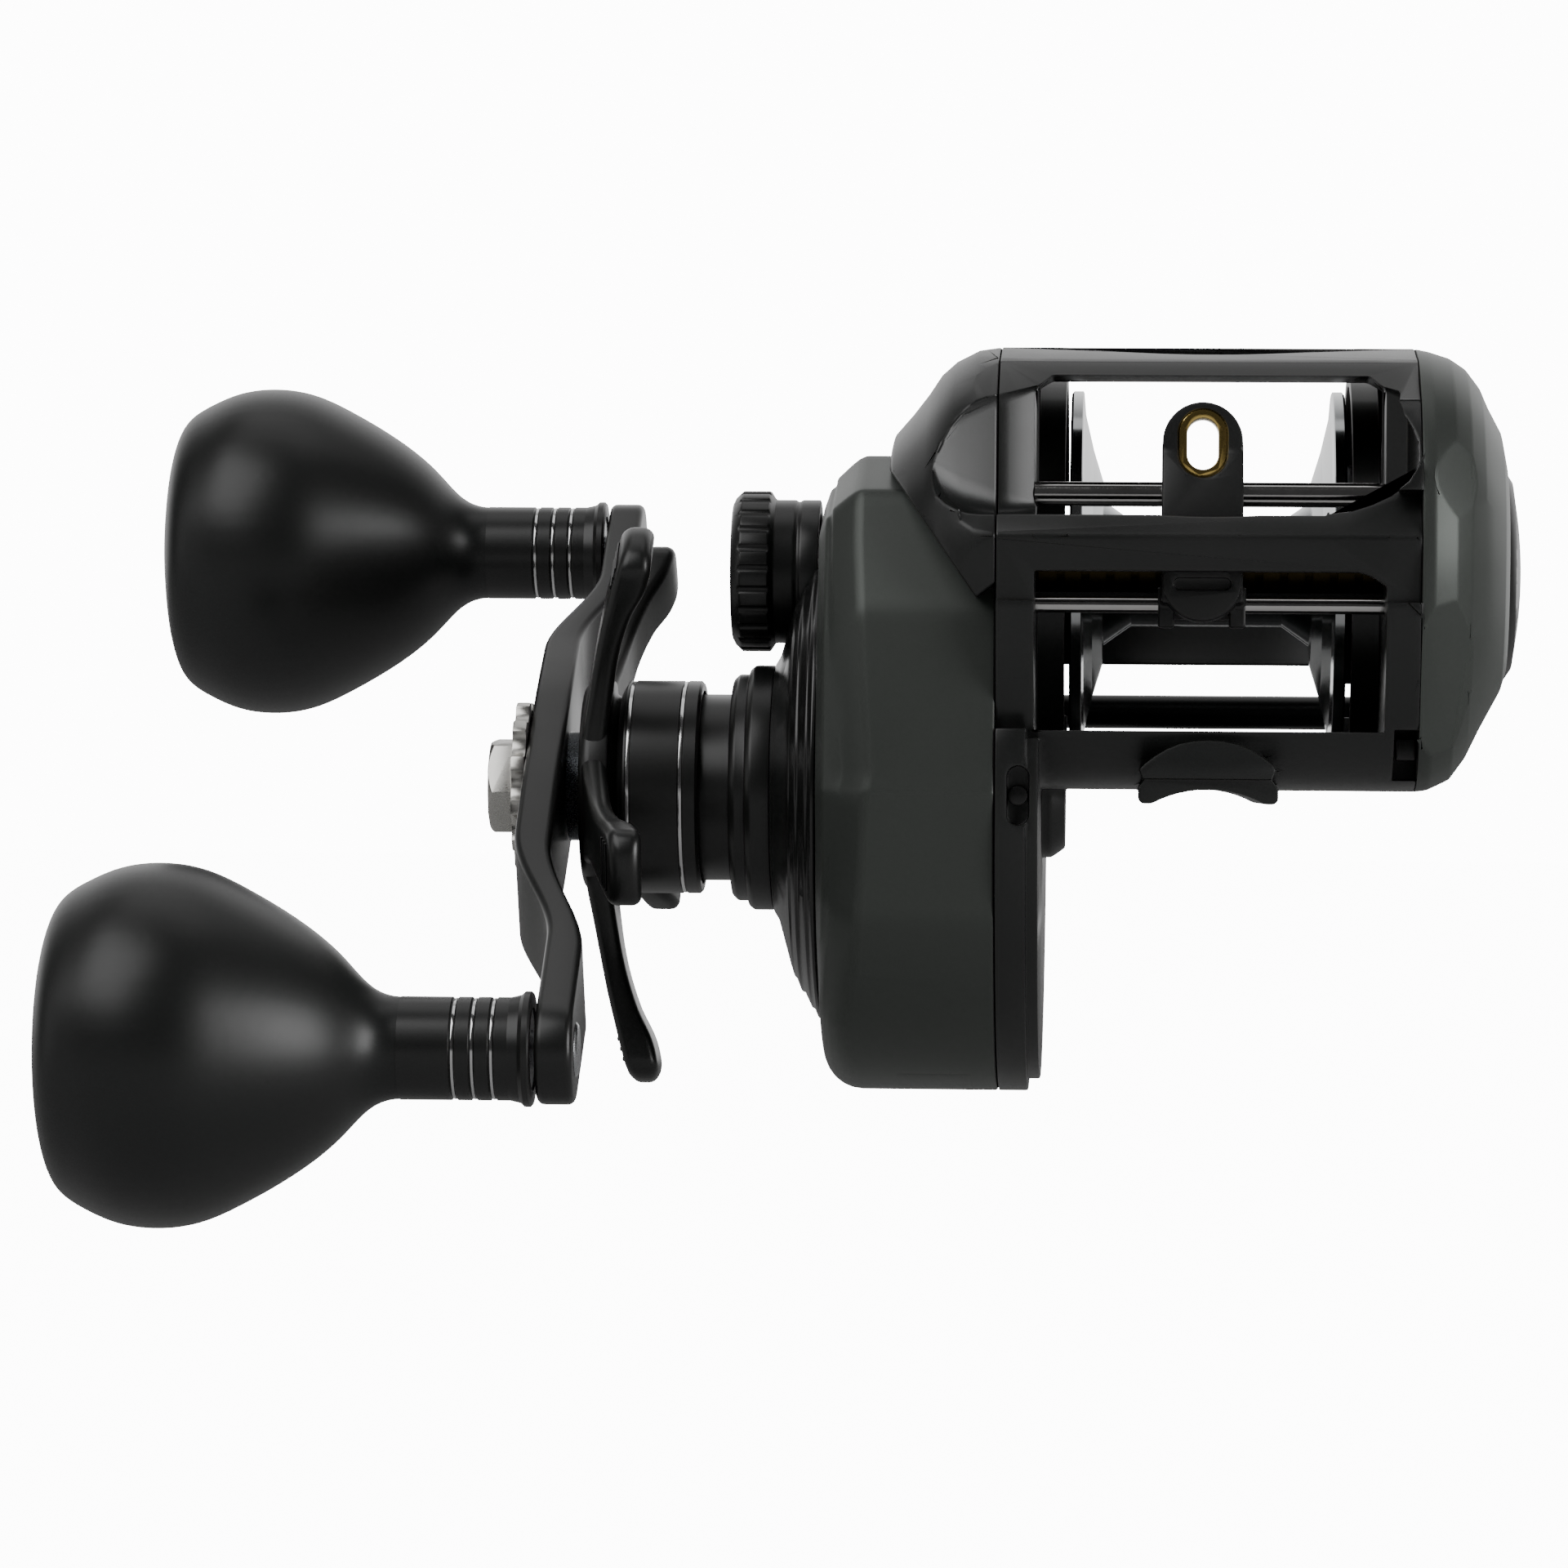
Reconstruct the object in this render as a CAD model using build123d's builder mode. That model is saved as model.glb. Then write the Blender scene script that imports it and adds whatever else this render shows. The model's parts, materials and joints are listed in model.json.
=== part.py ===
from build123d import *
import math
import os

os.makedirs("parts", exist_ok=True)

# ---------------------------------------------------------------------------
# Low-profile baitcasting reel, right-hand retrieve.
# Row frame: origin on the underside of the reel foot, midway along its width,
# under the spool axis. +X towards the palm side, -X towards the handle,
# -Y towards the line guide (front), +Z up. All sizes in millimetres.
# ---------------------------------------------------------------------------

# --- axes -------------------------------------------------------------------
spool_y, spool_z = 0.0, 25.2            # spool shaft
gear_mod = 0.6                          # main gear and pinion module
gear_teeth, pinion_teeth = 71, 10
centre_dist = gear_mod * (gear_teeth + pinion_teeth) / 2      # 24.3
drive_z = 1.35
drive_y = -math.sqrt(centre_dist ** 2 - (spool_z - drive_z) ** 2)   # -4.655
lw_mod = 0.8                            # level-wind gear module
lw_drive_teeth, idler_teeth, worm_teeth = 28, 22, 15
lw_dist = lw_mod * (lw_drive_teeth / 2 + idler_teeth + worm_teeth / 2)  # 34.8
worm_z = 25.2
worm_y = drive_y - math.sqrt(lw_dist ** 2 - (worm_z - drive_z) ** 2)    # -29.997
idler_run = lw_mod * (lw_drive_teeth + idler_teeth) / 2                 # 20.0
idler_y = drive_y + (worm_y - drive_y) * idler_run / lw_dist
idler_z = drive_z + (worm_z - drive_z) * idler_run / lw_dist

# --- frame ------------------------------------------------------------------
wall_gear_out, wall_gear_in = -22.2, -18.2
wall_palm_in, wall_palm_out = 18.2, 21.8
foot_half_w = 7.3
foot_front, foot_back = -36.0, 30.0

# --- guide rods, line guide ---------------------------------------------------
rod_up = (-31.0, 32.5)                  # (Y, Z) upper guide rod
rod_lo = (-33.5, 20.8)                  # lower guide rod
rod_up_r, rod_lo_r = 1.3, 0.85
guide_x = -0.8                          # where the line guide is parked
guard_r, worm_r = 4.0, 3.0

# --- spool ------------------------------------------------------------------
spool_r, spool_half, arbor_r = 20.0, 14.85, 5.8
spool_shaft_r = 1.5

# --- drive stack ------------------------------------------------------------
shaft_r = 4.0
shaft_in_r = 2.95
shaft_out_r = 3.0
case_cy, case_cz, case_r = -4.655, 2.75, 34.25
case_x = -41.5                          # outer face of the gear case
case_wall = 1.9
cover_screw_r = 30.2                    # cover screws on a circle about the case centre
cover_screw_at = [(case_cy + cover_screw_r * math.cos(math.radians(a)), case_cz + cover_screw_r * math.sin(math.radians(a)))
                  for a in (208, 270, 332)]

# --- handle -----------------------------------------------------------------
knob_arm = 50.6
handle_turn = 122.4                     # arm A from +Z towards -Y, degrees
arm_end_r, arm_hub_w = 5.7, 15.4
hub_x0, hub_x1 = -73.7, -69.7
end_x0, end_x1 = -68.8, -64.9
ka = math.radians(handle_turn)
knob_a_y = drive_y - knob_arm * math.sin(ka)
knob_a_z = drive_z + knob_arm * math.cos(ka)
knob_b_y = drive_y + knob_arm * math.sin(ka)
knob_b_z = drive_z - knob_arm * math.cos(ka)

# --- star drag --------------------------------------------------------------
star_arms, star_first = 5, 34.5
star_r = 32.5

# --- thumb bar --------------------------------------------------------------
thumb_travel, yoke_travel = 3.0, 2.0
thumb_in_r, thumb_out_r = 21.6, 25.2


# Sketch planes whose local x runs along X and local y is the distance from an
# axis that is parallel to X.
def axial_plane(y, z):
    return Plane(origin=(0, y, z), x_dir=(1, 0, 0), z_dir=(0, -1, 0))


def axial(y, z):
    return Axis((0, y, z), (1, 0, 0))


def yz_plane(x, y=0.0, z=0.0):
    return Plane(origin=(x, y, z), x_dir=(0, 1, 0), z_dir=(1, 0, 0))


drive_plane, drive_axis = axial_plane(drive_y, drive_z), axial(drive_y, drive_z)
spool_plane, spool_axis = axial_plane(spool_y, spool_z), axial(spool_y, spool_z)
worm_plane, worm_axis = axial_plane(worm_y, worm_z), axial(worm_y, worm_z)
idler_plane, idler_axis = axial_plane(idler_y, idler_z), axial(idler_y, idler_z)

# Side outline of the frame walls, (Y, Z).
frame_outline = [
    (-28.0, 1.9), (-34.0, 5.0), (-39.3, 13.0), (-41.7, 22.5), (-41.8, 29.5),
    (-40.0, 36.0), (-34.5, 43.0), (-25.5, 47.5), (-14.5, 49.0), (-3.0, 48.8),
    (8.5, 46.3), (18.8, 40.3), (25.9, 31.5), (29.3, 21.5), (28.6, 11.5),
    (24.5, 4.6), (19.0, 1.9), (12.0, 1.5), (0.0, 1.45), (-13.0, 1.45), (-22.0, 1.45)]


def scaled(points, k, cy, cz):
    return [(cy + (y - cy) * k, cz + (z - cz) * k) for y, z in points]


def inset(points, d):
    out, n = [], len(points)
    for i in range(n):
        (x0, y0), (x1, y1) = points[i - 1], points[(i + 1) % n]
        dx, dy = x1 - x0, y1 - y0
        ln = math.hypot(dx, dy)
        out.append((points[i][0] - dy / ln * d * -1 * -1, points[i][1] + dx / ln * d * -1 * -1))
    return out


def area(points):
    return sum(points[i - 1][0] * points[i][1] - points[i][0] * points[i - 1][1]
               for i in range(len(points))) / 2


# outline runs clockwise or not; the inset sign follows it
if area(frame_outline) < 0:
    frame_inner = inset(frame_outline, -3.6)
else:
    frame_inner = inset(frame_outline, 3.6)
if abs(area(frame_inner)) > abs(area(frame_outline)):
    frame_inner = inset(frame_outline, 3.6 if area(frame_outline) < 0 else -3.6)


def gear_points(teeth, module, phase_deg, backlash=0.09, add=0.8, ded=1.0, alpha=25.0, flank=4):
    """Outline of a spur gear with a tooth centred on phase_deg."""
    a = math.radians(alpha)
    rp = module * teeth / 2
    rb = rp * math.cos(a)
    ra, rf = rp + add * module, rp - ded * module
    half = (math.pi * module / 2 - backlash) / 2 / rp          # half tooth angle at pitch circle
    inv_a = math.tan(a) - a

    def half_at(r):
        if r <= rb:
            r = rb
        t = math.acos(rb / r)
        return half + inv_a - (math.tan(t) - t)

    pts = []
    r0 = max(rf, rb)
    radii = [r0 + (ra - r0) * i / flank for i in range(flank + 1)]
    if rf < rb:
        radii = [rf] + radii
    for k in range(teeth):
        c = math.radians(phase_deg) + 2 * math.pi * k / teeth
        for r in radii:
            pts.append((r * math.cos(c - half_at(r)), r * math.sin(c - half_at(r))))
        for r in reversed(radii):
            pts.append((r * math.cos(c + half_at(r)), r * math.sin(c + half_at(r))))
    return pts


# directions in the (Y, Z) plane between the gear centres
ang_drive_spool = math.degrees(math.atan2(spool_z - drive_z, spool_y - drive_y))
ang_drive_worm = math.degrees(math.atan2(worm_z - drive_z, worm_y - drive_y))

# ===========================================================================
# Frame with its integral foot
# ===========================================================================
with BuildPart() as frame:
    # hoop of the frame between the walls
    with BuildSketch(Plane.YZ.offset(wall_gear_in)):
        with BuildLine():
            Spline(*frame_outline, periodic=True)
        make_face()
        with BuildLine():
            Spline(*frame_inner, periodic=True)
        make_face(mode=Mode.SUBTRACT)
    extrude(amount=wall_palm_in - wall_gear_in)
    # open rear, above the rear bar
    with BuildSketch(Plane.XZ.offset(-6.0)):
        with Locations((0, 40)):
            Rectangle(36.4, 80 - 12.0)
    extrude(amount=-60, mode=Mode.SUBTRACT)
    # open top, behind the top crossbar
    with BuildSketch(Plane.XY.offset(30)):
        with Locations((0, 15)):
            Rectangle(36.4, 54)
    extrude(amount=40, mode=Mode.SUBTRACT)
    # upper window, with its dished lower edge
    with BuildSketch(Plane.XZ.offset(12.5)):
        with BuildLine():
            ThreePointArc((-18.2, 31.6), (0, 29.8), (18.2, 31.6))
            Polyline((18.2, 31.6), (18.2, 43.6), (16.6, 45.0), (-16.6, 45.0), (-18.2, 43.6), (-18.2, 31.6))
        make_face()
    extrude(amount=40, mode=Mode.SUBTRACT)
    # lower window
    with BuildSketch(Plane.XZ.offset(8.0)):
        with Locations((0, (7.6 + 24.1) / 2)):
            Rectangle(36.4, 24.1 - 7.6)
    extrude(amount=40, mode=Mode.SUBTRACT)
    # dished top of the top crossbar
    with BuildSketch(Plane.XZ.offset(0)):
        with Locations((0, 47.7 + 112)):
            Circle(112)
    extrude(amount=60, mode=Mode.SUBTRACT)
    # gear-side wall, and the deeper disc-shaped wall that backs the gear case
    with BuildSketch(Plane.YZ.offset(wall_gear_out)):
        with BuildLine():
            Spline(*frame_outline, periodic=True)
        make_face()
    extrude(amount=wall_gear_in - wall_gear_out)
    with BuildSketch(yz_plane(wall_gear_out, case_cy, case_cz)):
        Circle(case_r)
        with Locations((0, 30)):
            Rectangle(90, 50, mode=Mode.SUBTRACT)
    extrude(amount=3.2)
    with BuildSketch(yz_plane(wall_gear_out + 3.2, case_cy, case_cz)):
        Circle(case_r - 1.3)
        with Locations((0, 29)):
            Rectangle(90, 50, mode=Mode.SUBTRACT)
    extrude(amount=1.3)
    # palm-side wall
    with BuildSketch(Plane.YZ.offset(wall_palm_in)):
        with BuildLine():
            Spline(*frame_outline, periodic=True)
        make_face()
    extrude(amount=wall_palm_out - wall_palm_in)
    # lips round the spool flanges
    with BuildSketch(yz_plane(wall_gear_in, spool_y, spool_z)):
        Circle(22.3)
        Circle(20.5, mode=Mode.SUBTRACT)
        with Locations((24, -3.5)):
            Rectangle(24, 24, mode=Mode.SUBTRACT)
    extrude(amount=2.9)
    with BuildSketch(yz_plane(15.3, spool_y, spool_z)):
        Circle(22.3)
        Circle(20.5, mode=Mode.SUBTRACT)
        with Locations((24, -3.5)):
            Rectangle(24, 24, mode=Mode.SUBTRACT)
    extrude(amount=2.9)
    # boss of the inner drive-shaft bearing
    with BuildSketch(yz_plane(wall_gear_in - 0.5, drive_y, drive_z)):
        Circle(7.4)
    extrude(amount=2.0)
    with BuildSketch(yz_plane(wall_gear_in + 1.5, drive_y, drive_z)):
        Circle(7.4)
    extrude(amount=1.5, taper=35)
    # rear lower bar
    with BuildSketch(Plane.YZ.offset(wall_gear_in)):
        with Locations((25.8, 10.3)):
            Circle(1.9)
    extrude(amount=wall_palm_in - wall_gear_in)
    # foot: two rails and a hollow underside
    with BuildSketch(Plane.XZ.offset(-foot_back)):
        with BuildLine():
            Polyline((-6.9, 0), (-5.9, 0), (5.9, 0), (6.9, 0), (7.3, 0.4), (7.3, 1.7), (6.6, 2.6),
                     (-6.6, 2.6), (-7.3, 1.7), (-7.3, 0.4), (-6.9, 0))
        make_face()
        with Locations((0, 1.5 - 12.35)):
            Circle(12.35, mode=Mode.SUBTRACT)
    extrude(amount=foot_back - foot_front)
    # raised root of the front tongue
    with BuildSketch(Plane.XZ.offset(27.0)):
        with BuildLine():
            ThreePointArc((-6.0, 2.2), (0, 6.7), (6.0, 2.2))
            Line((6.0, 2.2), (-6.0, 2.2))
        make_face()
    extrude(amount=8.0)
    # room for the spool over the deck
    with BuildSketch(yz_plane(-15.3, spool_y, spool_z)):
        Circle(20.95)
    extrude(amount=30.6, mode=Mode.SUBTRACT)
    # opening that the spool passes through, palm side
    with BuildSketch(yz_plane(15.2, spool_y, spool_z)):
        Circle(20.6)
    extrude(amount=7.0, mode=Mode.SUBTRACT)
    # flared front edges of the walls round the upper window
    with BuildSketch(Plane.XZ.offset(33.0)):
        with Locations((0, 37.6)):
            Rectangle(36.4, 13.4)
    with BuildSketch(Plane.XZ.offset(43.5)):
        with Locations((-0.2, 37.6)):
            Rectangle(42.8, 16.0)
    loft(mode=Mode.SUBTRACT)
    # spool bearing seat, drive bearing seat, worm bushing seats
    with BuildSketch(yz_plane(-24, spool_y, spool_z)):
        Circle(5.5)
    extrude(amount=5.1, mode=Mode.SUBTRACT)
    with BuildSketch(yz_plane(-20, spool_y, spool_z)):
        Circle(4.8)
    extrude(amount=4, mode=Mode.SUBTRACT)
    with BuildSketch(yz_plane(-24, drive_y, drive_z)):
        Circle(5.5)
    extrude(amount=6.4, mode=Mode.SUBTRACT)
    with BuildSketch(yz_plane(-18, drive_y, drive_z)):
        Circle(3.4)
    extrude(amount=1.4, mode=Mode.SUBTRACT)
    with BuildSketch(yz_plane(-24, worm_y, worm_z)):
        Circle(3.6)
    extrude(amount=8, mode=Mode.SUBTRACT)
    with BuildSketch(yz_plane(17, worm_y, worm_z)):
        Circle(3.6)
    extrude(amount=4.2, mode=Mode.SUBTRACT)
    # rod seats
    for (ry, rz), rr in ((rod_up, rod_up_r), (rod_lo, rod_lo_r)):
        with BuildSketch(yz_plane(-20.2, ry, rz)):
            Circle(rr)
        extrude(amount=40.4, mode=Mode.SUBTRACT)
    # slots for the tongues of the thumb bar
    with BuildSketch(yz_plane(-24, 23.3, 21.5)):
        Rectangle(3.3, 7.7)
    extrude(amount=8, mode=Mode.SUBTRACT)
    with BuildSketch(yz_plane(16, 23.3, 21.5)):
        Rectangle(3.3, 7.7)
    extrude(amount=4.8, mode=Mode.SUBTRACT)
    # clutch post seats
    for py in (-8.5, 8.5):
        with BuildSketch(yz_plane(-24, py, 27.2)):
            Circle(1.0)
        extrude(amount=4.4, mode=Mode.SUBTRACT)
    # recess of the palm cover latch
    with BuildSketch(yz_plane(19.3, -32.5, 5.35)):
        Rectangle(8, 5.5)
    extrude(amount=6, mode=Mode.SUBTRACT)
    # recessed screw at the front of the gear-side wall
    with BuildSketch(Plane.XZ.offset(36.2)):
        with Locations((-19.8, 0.75)):
            SlotOverall(6.2, 2.3, rotation=90)
    extrude(amount=6, mode=Mode.SUBTRACT)
    # cover screw counterbores and holes, from the inner side of the wall
    for sy, sz in cover_screw_at:
        with BuildSketch(yz_plane(-18.9, sy, sz)):
            Circle(2.1)
        extrude(amount=4, mode=Mode.SUBTRACT)
        with BuildSketch(yz_plane(-23, sy, sz)):
            Circle(1.25)
        extrude(amount=6, mode=Mode.SUBTRACT)
    # stub that carries the idler gear
    with BuildSketch(yz_plane(-21.0, idler_y, idler_z)):
        Circle(2.0)
    extrude(amount=-4.9)

# ===========================================================================
# Gear-side cover
# ===========================================================================
case_top = [(29.6, 2.75), (30.2, 18.0), (26.6, 29.5), (12.0, 37.0), (-20.0, 37.0),
            (-32.0, 32.7), (-37.4, 20.0), (-38.9, 2.75)]


def case_face_lines(d=0.0):
    """Case outline, inset by d, as an arc below and straight facets above."""
    k = (case_r - d) / case_r
    top = scaled(case_top, k, case_cy, case_cz)
    a = (case_cy + (case_r - d), case_cz)
    b = (case_cy - (case_r - d), case_cz)
    ThreePointArc(b, (case_cy, case_cz - (case_r - d)), a)
    Polyline(a, *top[1:-1], b)


with BuildPart() as gear_side_cover:
    with BuildSketch(Plane.YZ.offset(wall_gear_out - 0.05)):
        with BuildLine():
            case_face_lines()
        make_face()
    extrude(amount=-(38.2 + wall_gear_out - 0.05))
    with BuildSketch(Plane.YZ.offset(-38.2)):
        with BuildLine():
            case_face_lines()
        make_face()
    with BuildSketch(Plane.YZ.offset(case_x)):
        with BuildLine():
            case_face_lines(3.4)
        make_face()
    loft(ruled=True)
    # hood over the level wind and clutch
    hood_steps = ((-22.25, 1.0), (-25.0, 0.985), (-30.0, 0.905), (-34.4, 0.69))
    with BuildSketch(Plane.YZ.offset(-22.25)):
        with BuildLine():
            Polyline(*frame_outline, close=True)
        make_face()
    with BuildSketch(Plane.YZ.offset(-25.0)):
        with BuildLine():
            Polyline(*scaled(frame_outline, 0.985, -5, 22), close=True)
        make_face()
    with BuildSketch(Plane.YZ.offset(-30.0)):
        with BuildLine():
            Polyline(*scaled(frame_outline, 0.905, -5, 22), close=True)
        make_face()
    with BuildSketch(Plane.YZ.offset(-34.4)):
        with BuildLine():
            Polyline(*scaled(frame_outline, 0.69, -5, 22), close=True)
        make_face()
    loft(ruled=True)
    # cavity of the case and of the hood
    with BuildSketch(Plane.YZ.offset(-22.0)):
        with BuildLine():
            case_face_lines(1.9)
        make_face()
    extrude(amount=-(39.6 - 22.0), mode=Mode.SUBTRACT)
    for x0, x1, k in ((-22.0, -25.6, 0.93), (-25.5, -28.0, 0.86), (-27.9, -31.0, 0.72)):
        with BuildSketch(Plane.YZ.offset(x0)):
            with BuildLine():
                Polyline(*scaled(frame_outline, k, -5, 22), close=True)
            make_face()
        extrude(amount=x1 - x0, mode=Mode.SUBTRACT)
    # boss for the spool end bearing and the cast control cap
    with BuildSketch(yz_plane(-39.7, spool_y, spool_z)):
        Circle(7.0)
    extrude(amount=-2.4)
    with BuildSketch(yz_plane(-42.0, spool_y, spool_z)):
        Circle(6.3)
    extrude(amount=-6.5)
    with BuildSketch(yz_plane(-39.0, spool_y, spool_z)):
        Circle(4.2)
    extrude(amount=-10, mode=Mode.SUBTRACT)
    # hole for the drive housing sleeve
    with BuildSketch(yz_plane(-39.0, drive_y, drive_z)):
        Circle(11.2)
    extrude(amount=-4, mode=Mode.SUBTRACT)
    # pocket of the port cover
    with BuildSketch(yz_plane(-24.8, case_cy, case_cz)):
        Circle(case_r + 2)
        Circle(case_r - 1.15, mode=Mode.SUBTRACT)
        with Locations((0, 12.0)):
            Rectangle(90, 84, mode=Mode.SUBTRACT)
        with Locations((-32.3, -30), (32.3, -30)):
            Rectangle(40, 30, mode=Mode.SUBTRACT)
    extrude(amount=-8.4, mode=Mode.SUBTRACT)
    # screw bosses
    for sy, sz in cover_screw_at:
        with BuildSketch(yz_plane(-22.3, sy, sz)):
            Circle(2.6)
        extrude(amount=-4.0)
        with BuildSketch(yz_plane(-22.3, sy, sz)):
            Circle(1.0)
        extrude(amount=-3.4, mode=Mode.SUBTRACT)

with BuildPart() as port_cover:
    with BuildSketch(yz_plane(-24.9, case_cy, case_cz)):
        Circle(case_r)
        Circle(case_r - 1.1, mode=Mode.SUBTRACT)
        with Locations((0, 12.0)):
            Rectangle(90, 84.2, mode=Mode.SUBTRACT)
        with Locations((-32.2, -30), (32.2, -30)):
            Rectangle(40, 30, mode=Mode.SUBTRACT)
    extrude(amount=-8.2)

# ===========================================================================
# Drive housing and collar
# ===========================================================================
with BuildPart() as drive_housing:
    with BuildSketch(drive_plane):
        with BuildLine():
            Polyline((-41.5, 25.2), (-41.9, 25.2), (-42.3, 24.2), (-42.6, 24.1), (-43.4, 22.4), (-43.75, 22.3),
                     (-44.3, 20.9), (-44.55, 20.7), (-44.9, 19.6), (-46.3, 14.6), (-46.9, 13.6), (-46.9, 9.05),
                     (-36.8, 9.05), (-36.8, 11.1), (-41.5, 11.1), close=True)
        make_face()
    revolve(axis=drive_axis)
    with BuildSketch(yz_plane(-41.0, spool_y, spool_z)):
        Circle(8.8)
    extrude(amount=-8, mode=Mode.SUBTRACT)

with BuildPart() as drive_collar:
    with BuildSketch(drive_plane):
        with BuildLine():
            Polyline((-46.95, 8.4), (-46.95, 13.4), (-49.1, 13.4), (-49.7, 12.9), (-49.7, 12.4), (-50.9, 12.4),
                     (-51.5, 11.8), (-51.5, 10.2), (-55.2, 10.2), (-55.2, 8.4), close=True)
        make_face()
    revolve(axis=drive_axis)

with BuildPart() as one_way_bearing:
    with BuildSketch(drive_plane):
        with BuildLine():
            Polyline((-46.2, 5.55), (-46.2, 9.0), (-38.2, 9.0), (-38.2, 5.55), close=True)
        make_face()
    revolve(axis=drive_axis)

with BuildPart() as drive_shaft_bearing:
    with BuildSketch(drive_plane):
        with BuildLine():
            Polyline((-21.8, 3.0), (-21.8, 5.45), (-17.8, 5.45), (-17.8, 3.0), close=True)
        make_face()
    revolve(axis=drive_axis)

# ===========================================================================
# Drive shaft and what turns with it
# ===========================================================================
with BuildPart() as drive_shaft:
    with BuildSketch(drive_plane):
        with BuildLine():
            Polyline((-16.9, 0), (-16.9, 2.6), (-17.3, shaft_in_r), (-22.3, shaft_in_r), (-22.3, shaft_r), (-25.2, shaft_r),
                     (-25.2, 9.0), (-26.25, 9.0), (-26.25, shaft_r), (-69.65, shaft_r), (-69.65, shaft_out_r),
                     (-77.1, shaft_out_r), (-77.4, 2.7), (-77.4, 0), close=True)
        make_face()
    revolve(axis=drive_axis)

with BuildPart() as levelwind_drive_gear:
    with BuildSketch(yz_plane(-25.1, drive_y, drive_z)):
        with BuildLine():
            Polyline(*gear_points(lw_drive_teeth, lw_mod, ang_drive_worm, flank=3), close=True)
        make_face()
        Circle(shaft_r + 0.02, mode=Mode.SUBTRACT)
    extrude(amount=2.2)

with BuildPart() as drive_gear:
    with BuildSketch(yz_plane(-31.0, drive_y, drive_z)):
        with BuildLine():
            Polyline(*gear_points(gear_teeth, gear_mod, ang_drive_spool, flank=3), close=True)
        make_face()
        Circle(shaft_r + 0.05, mode=Mode.SUBTRACT)
    extrude(amount=3.5)
    # drag cup
    with BuildSketch(yz_plane(-31.5, drive_y, drive_z)):
        Circle(16.5)
        Circle(6.0, mode=Mode.SUBTRACT)
    extrude(amount=2.3, mode=Mode.SUBTRACT)
    # lightening pockets on the inner side
    with BuildSketch(yz_plane(-28.1, drive_y, drive_z)):
        with PolarLocations(12.8, 6):
            Circle(2.6)
    extrude(amount=2.0, mode=Mode.SUBTRACT)

with BuildPart() as drag_washers:
    for x0, x1, r0, r1 in ((-27.45, -26.3, 4.1, 9.8), (-29.85, -29.25, 6.2, 16.3), (-31.25, -30.65, 6.2, 16.3)):
        with BuildSketch(yz_plane(x0, drive_y, drive_z)):
            Circle(r1)
            Circle(r0, mode=Mode.SUBTRACT)
        extrude(amount=x1 - x0)

with BuildPart() as drag_disc:
    with BuildSketch(yz_plane(-30.6, drive_y, drive_z)):
        Circle(16.2)
        Circle(6.2, mode=Mode.SUBTRACT)
    extrude(amount=0.7)

with BuildPart() as drag_pressure_plate:
    with BuildSketch(yz_plane(-32.6, drive_y, drive_z)):
        Circle(13.6)
        Circle(shaft_r + 0.05, mode=Mode.SUBTRACT)
    extrude(amount=1.3)
    with BuildSketch(yz_plane(-32.7, drive_y, drive_z)):
        with PolarLocations(9.6, 6):
            Circle(1.7)
    extrude(amount=2.0, mode=Mode.SUBTRACT)

with BuildPart() as anti_reverse_sleeve:
    with BuildSketch(drive_plane):
        with BuildLine():
            Polyline((-32.65, shaft_r + 0.03), (-32.65, 6.6), (-33.6, 6.6), (-33.6, 5.5), (-46.5, 5.5),
                     (-46.5, shaft_r + 0.03), close=True)
        make_face()
    revolve(axis=drive_axis)

with BuildPart() as drag_spring_washers:
    for i in range(4):
        x = -46.6 - 1.65 * i
        a, b = (x - 0.75, x) if i % 2 else (x, x - 0.75)
        with BuildSketch(drive_plane):
            with BuildLine():
                Polyline((a, 4.15), (b, 7.4), (b - 0.7, 7.4), (a - 0.7, 4.15), close=True)
            make_face()
        revolve(axis=drive_axis)

# handle arm, built along +Z and then turned to its parked angle
with BuildPart() as arm_blank:
    with BuildSketch(drive_plane):
        with BuildLine():
            Spline((hub_x0, 19.0), (end_x0, 37.0), tangents=[(0, 1), (0, 1)])
            Polyline((end_x0, 37.0), (end_x0, 57.0), (end_x1, 57.0), (end_x1, 39.5))
            Spline((end_x1, 39.5), (hub_x1, 21.0), tangents=[(0, -1), (0, -1)])
            Line((hub_x1, 21.0), (hub_x1, -21.0))
            Spline((hub_x1, -21.0), (end_x1, -39.5), tangents=[(0, -1), (0, -1)])
            Polyline((end_x1, -39.5), (end_x1, -57.0), (end_x0, -57.0), (end_x0, -37.0))
            Spline((end_x0, -37.0), (hub_x0, -19.0), tangents=[(0, 1), (0, 1)])
            Line((hub_x0, -19.0), (hub_x0, 19.0))
        make_face()
    extrude(amount=9, both=True)
    with BuildSketch(yz_plane(-80, drive_y, drive_z)):
        Circle(arm_hub_w / 2)
        with BuildLine():
            Polyline((-arm_hub_w / 2, 0), (-7.1, 14), (-5.9, 30), (-arm_end_r, knob_arm), (arm_end_r, knob_arm),
                     (5.9, 30), (7.1, 14), (arm_hub_w / 2, 0), (7.1, -14), (5.9, -30), (arm_end_r, -knob_arm),
                     (-arm_end_r, -knob_arm), (-5.9, -30), (-7.1, -14), (-arm_hub_w / 2, 0))
        make_face()
        with Locations((0, knob_arm), (0, -knob_arm)):
            Circle(arm_end_r)
    extrude(amount=20, mode=Mode.INTERSECT)
    with BuildSketch(yz_plane(-80, drive_y, drive_z)):
        Circle(shaft_out_r + 0.02)
        with Locations((0, knob_arm), (0, -knob_arm)):
            Circle(2.25)
    extrude(amount=20, mode=Mode.SUBTRACT)

with BuildPart() as handle_arm:
    add(arm_blank.part.rotate(drive_axis, handle_turn))

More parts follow.
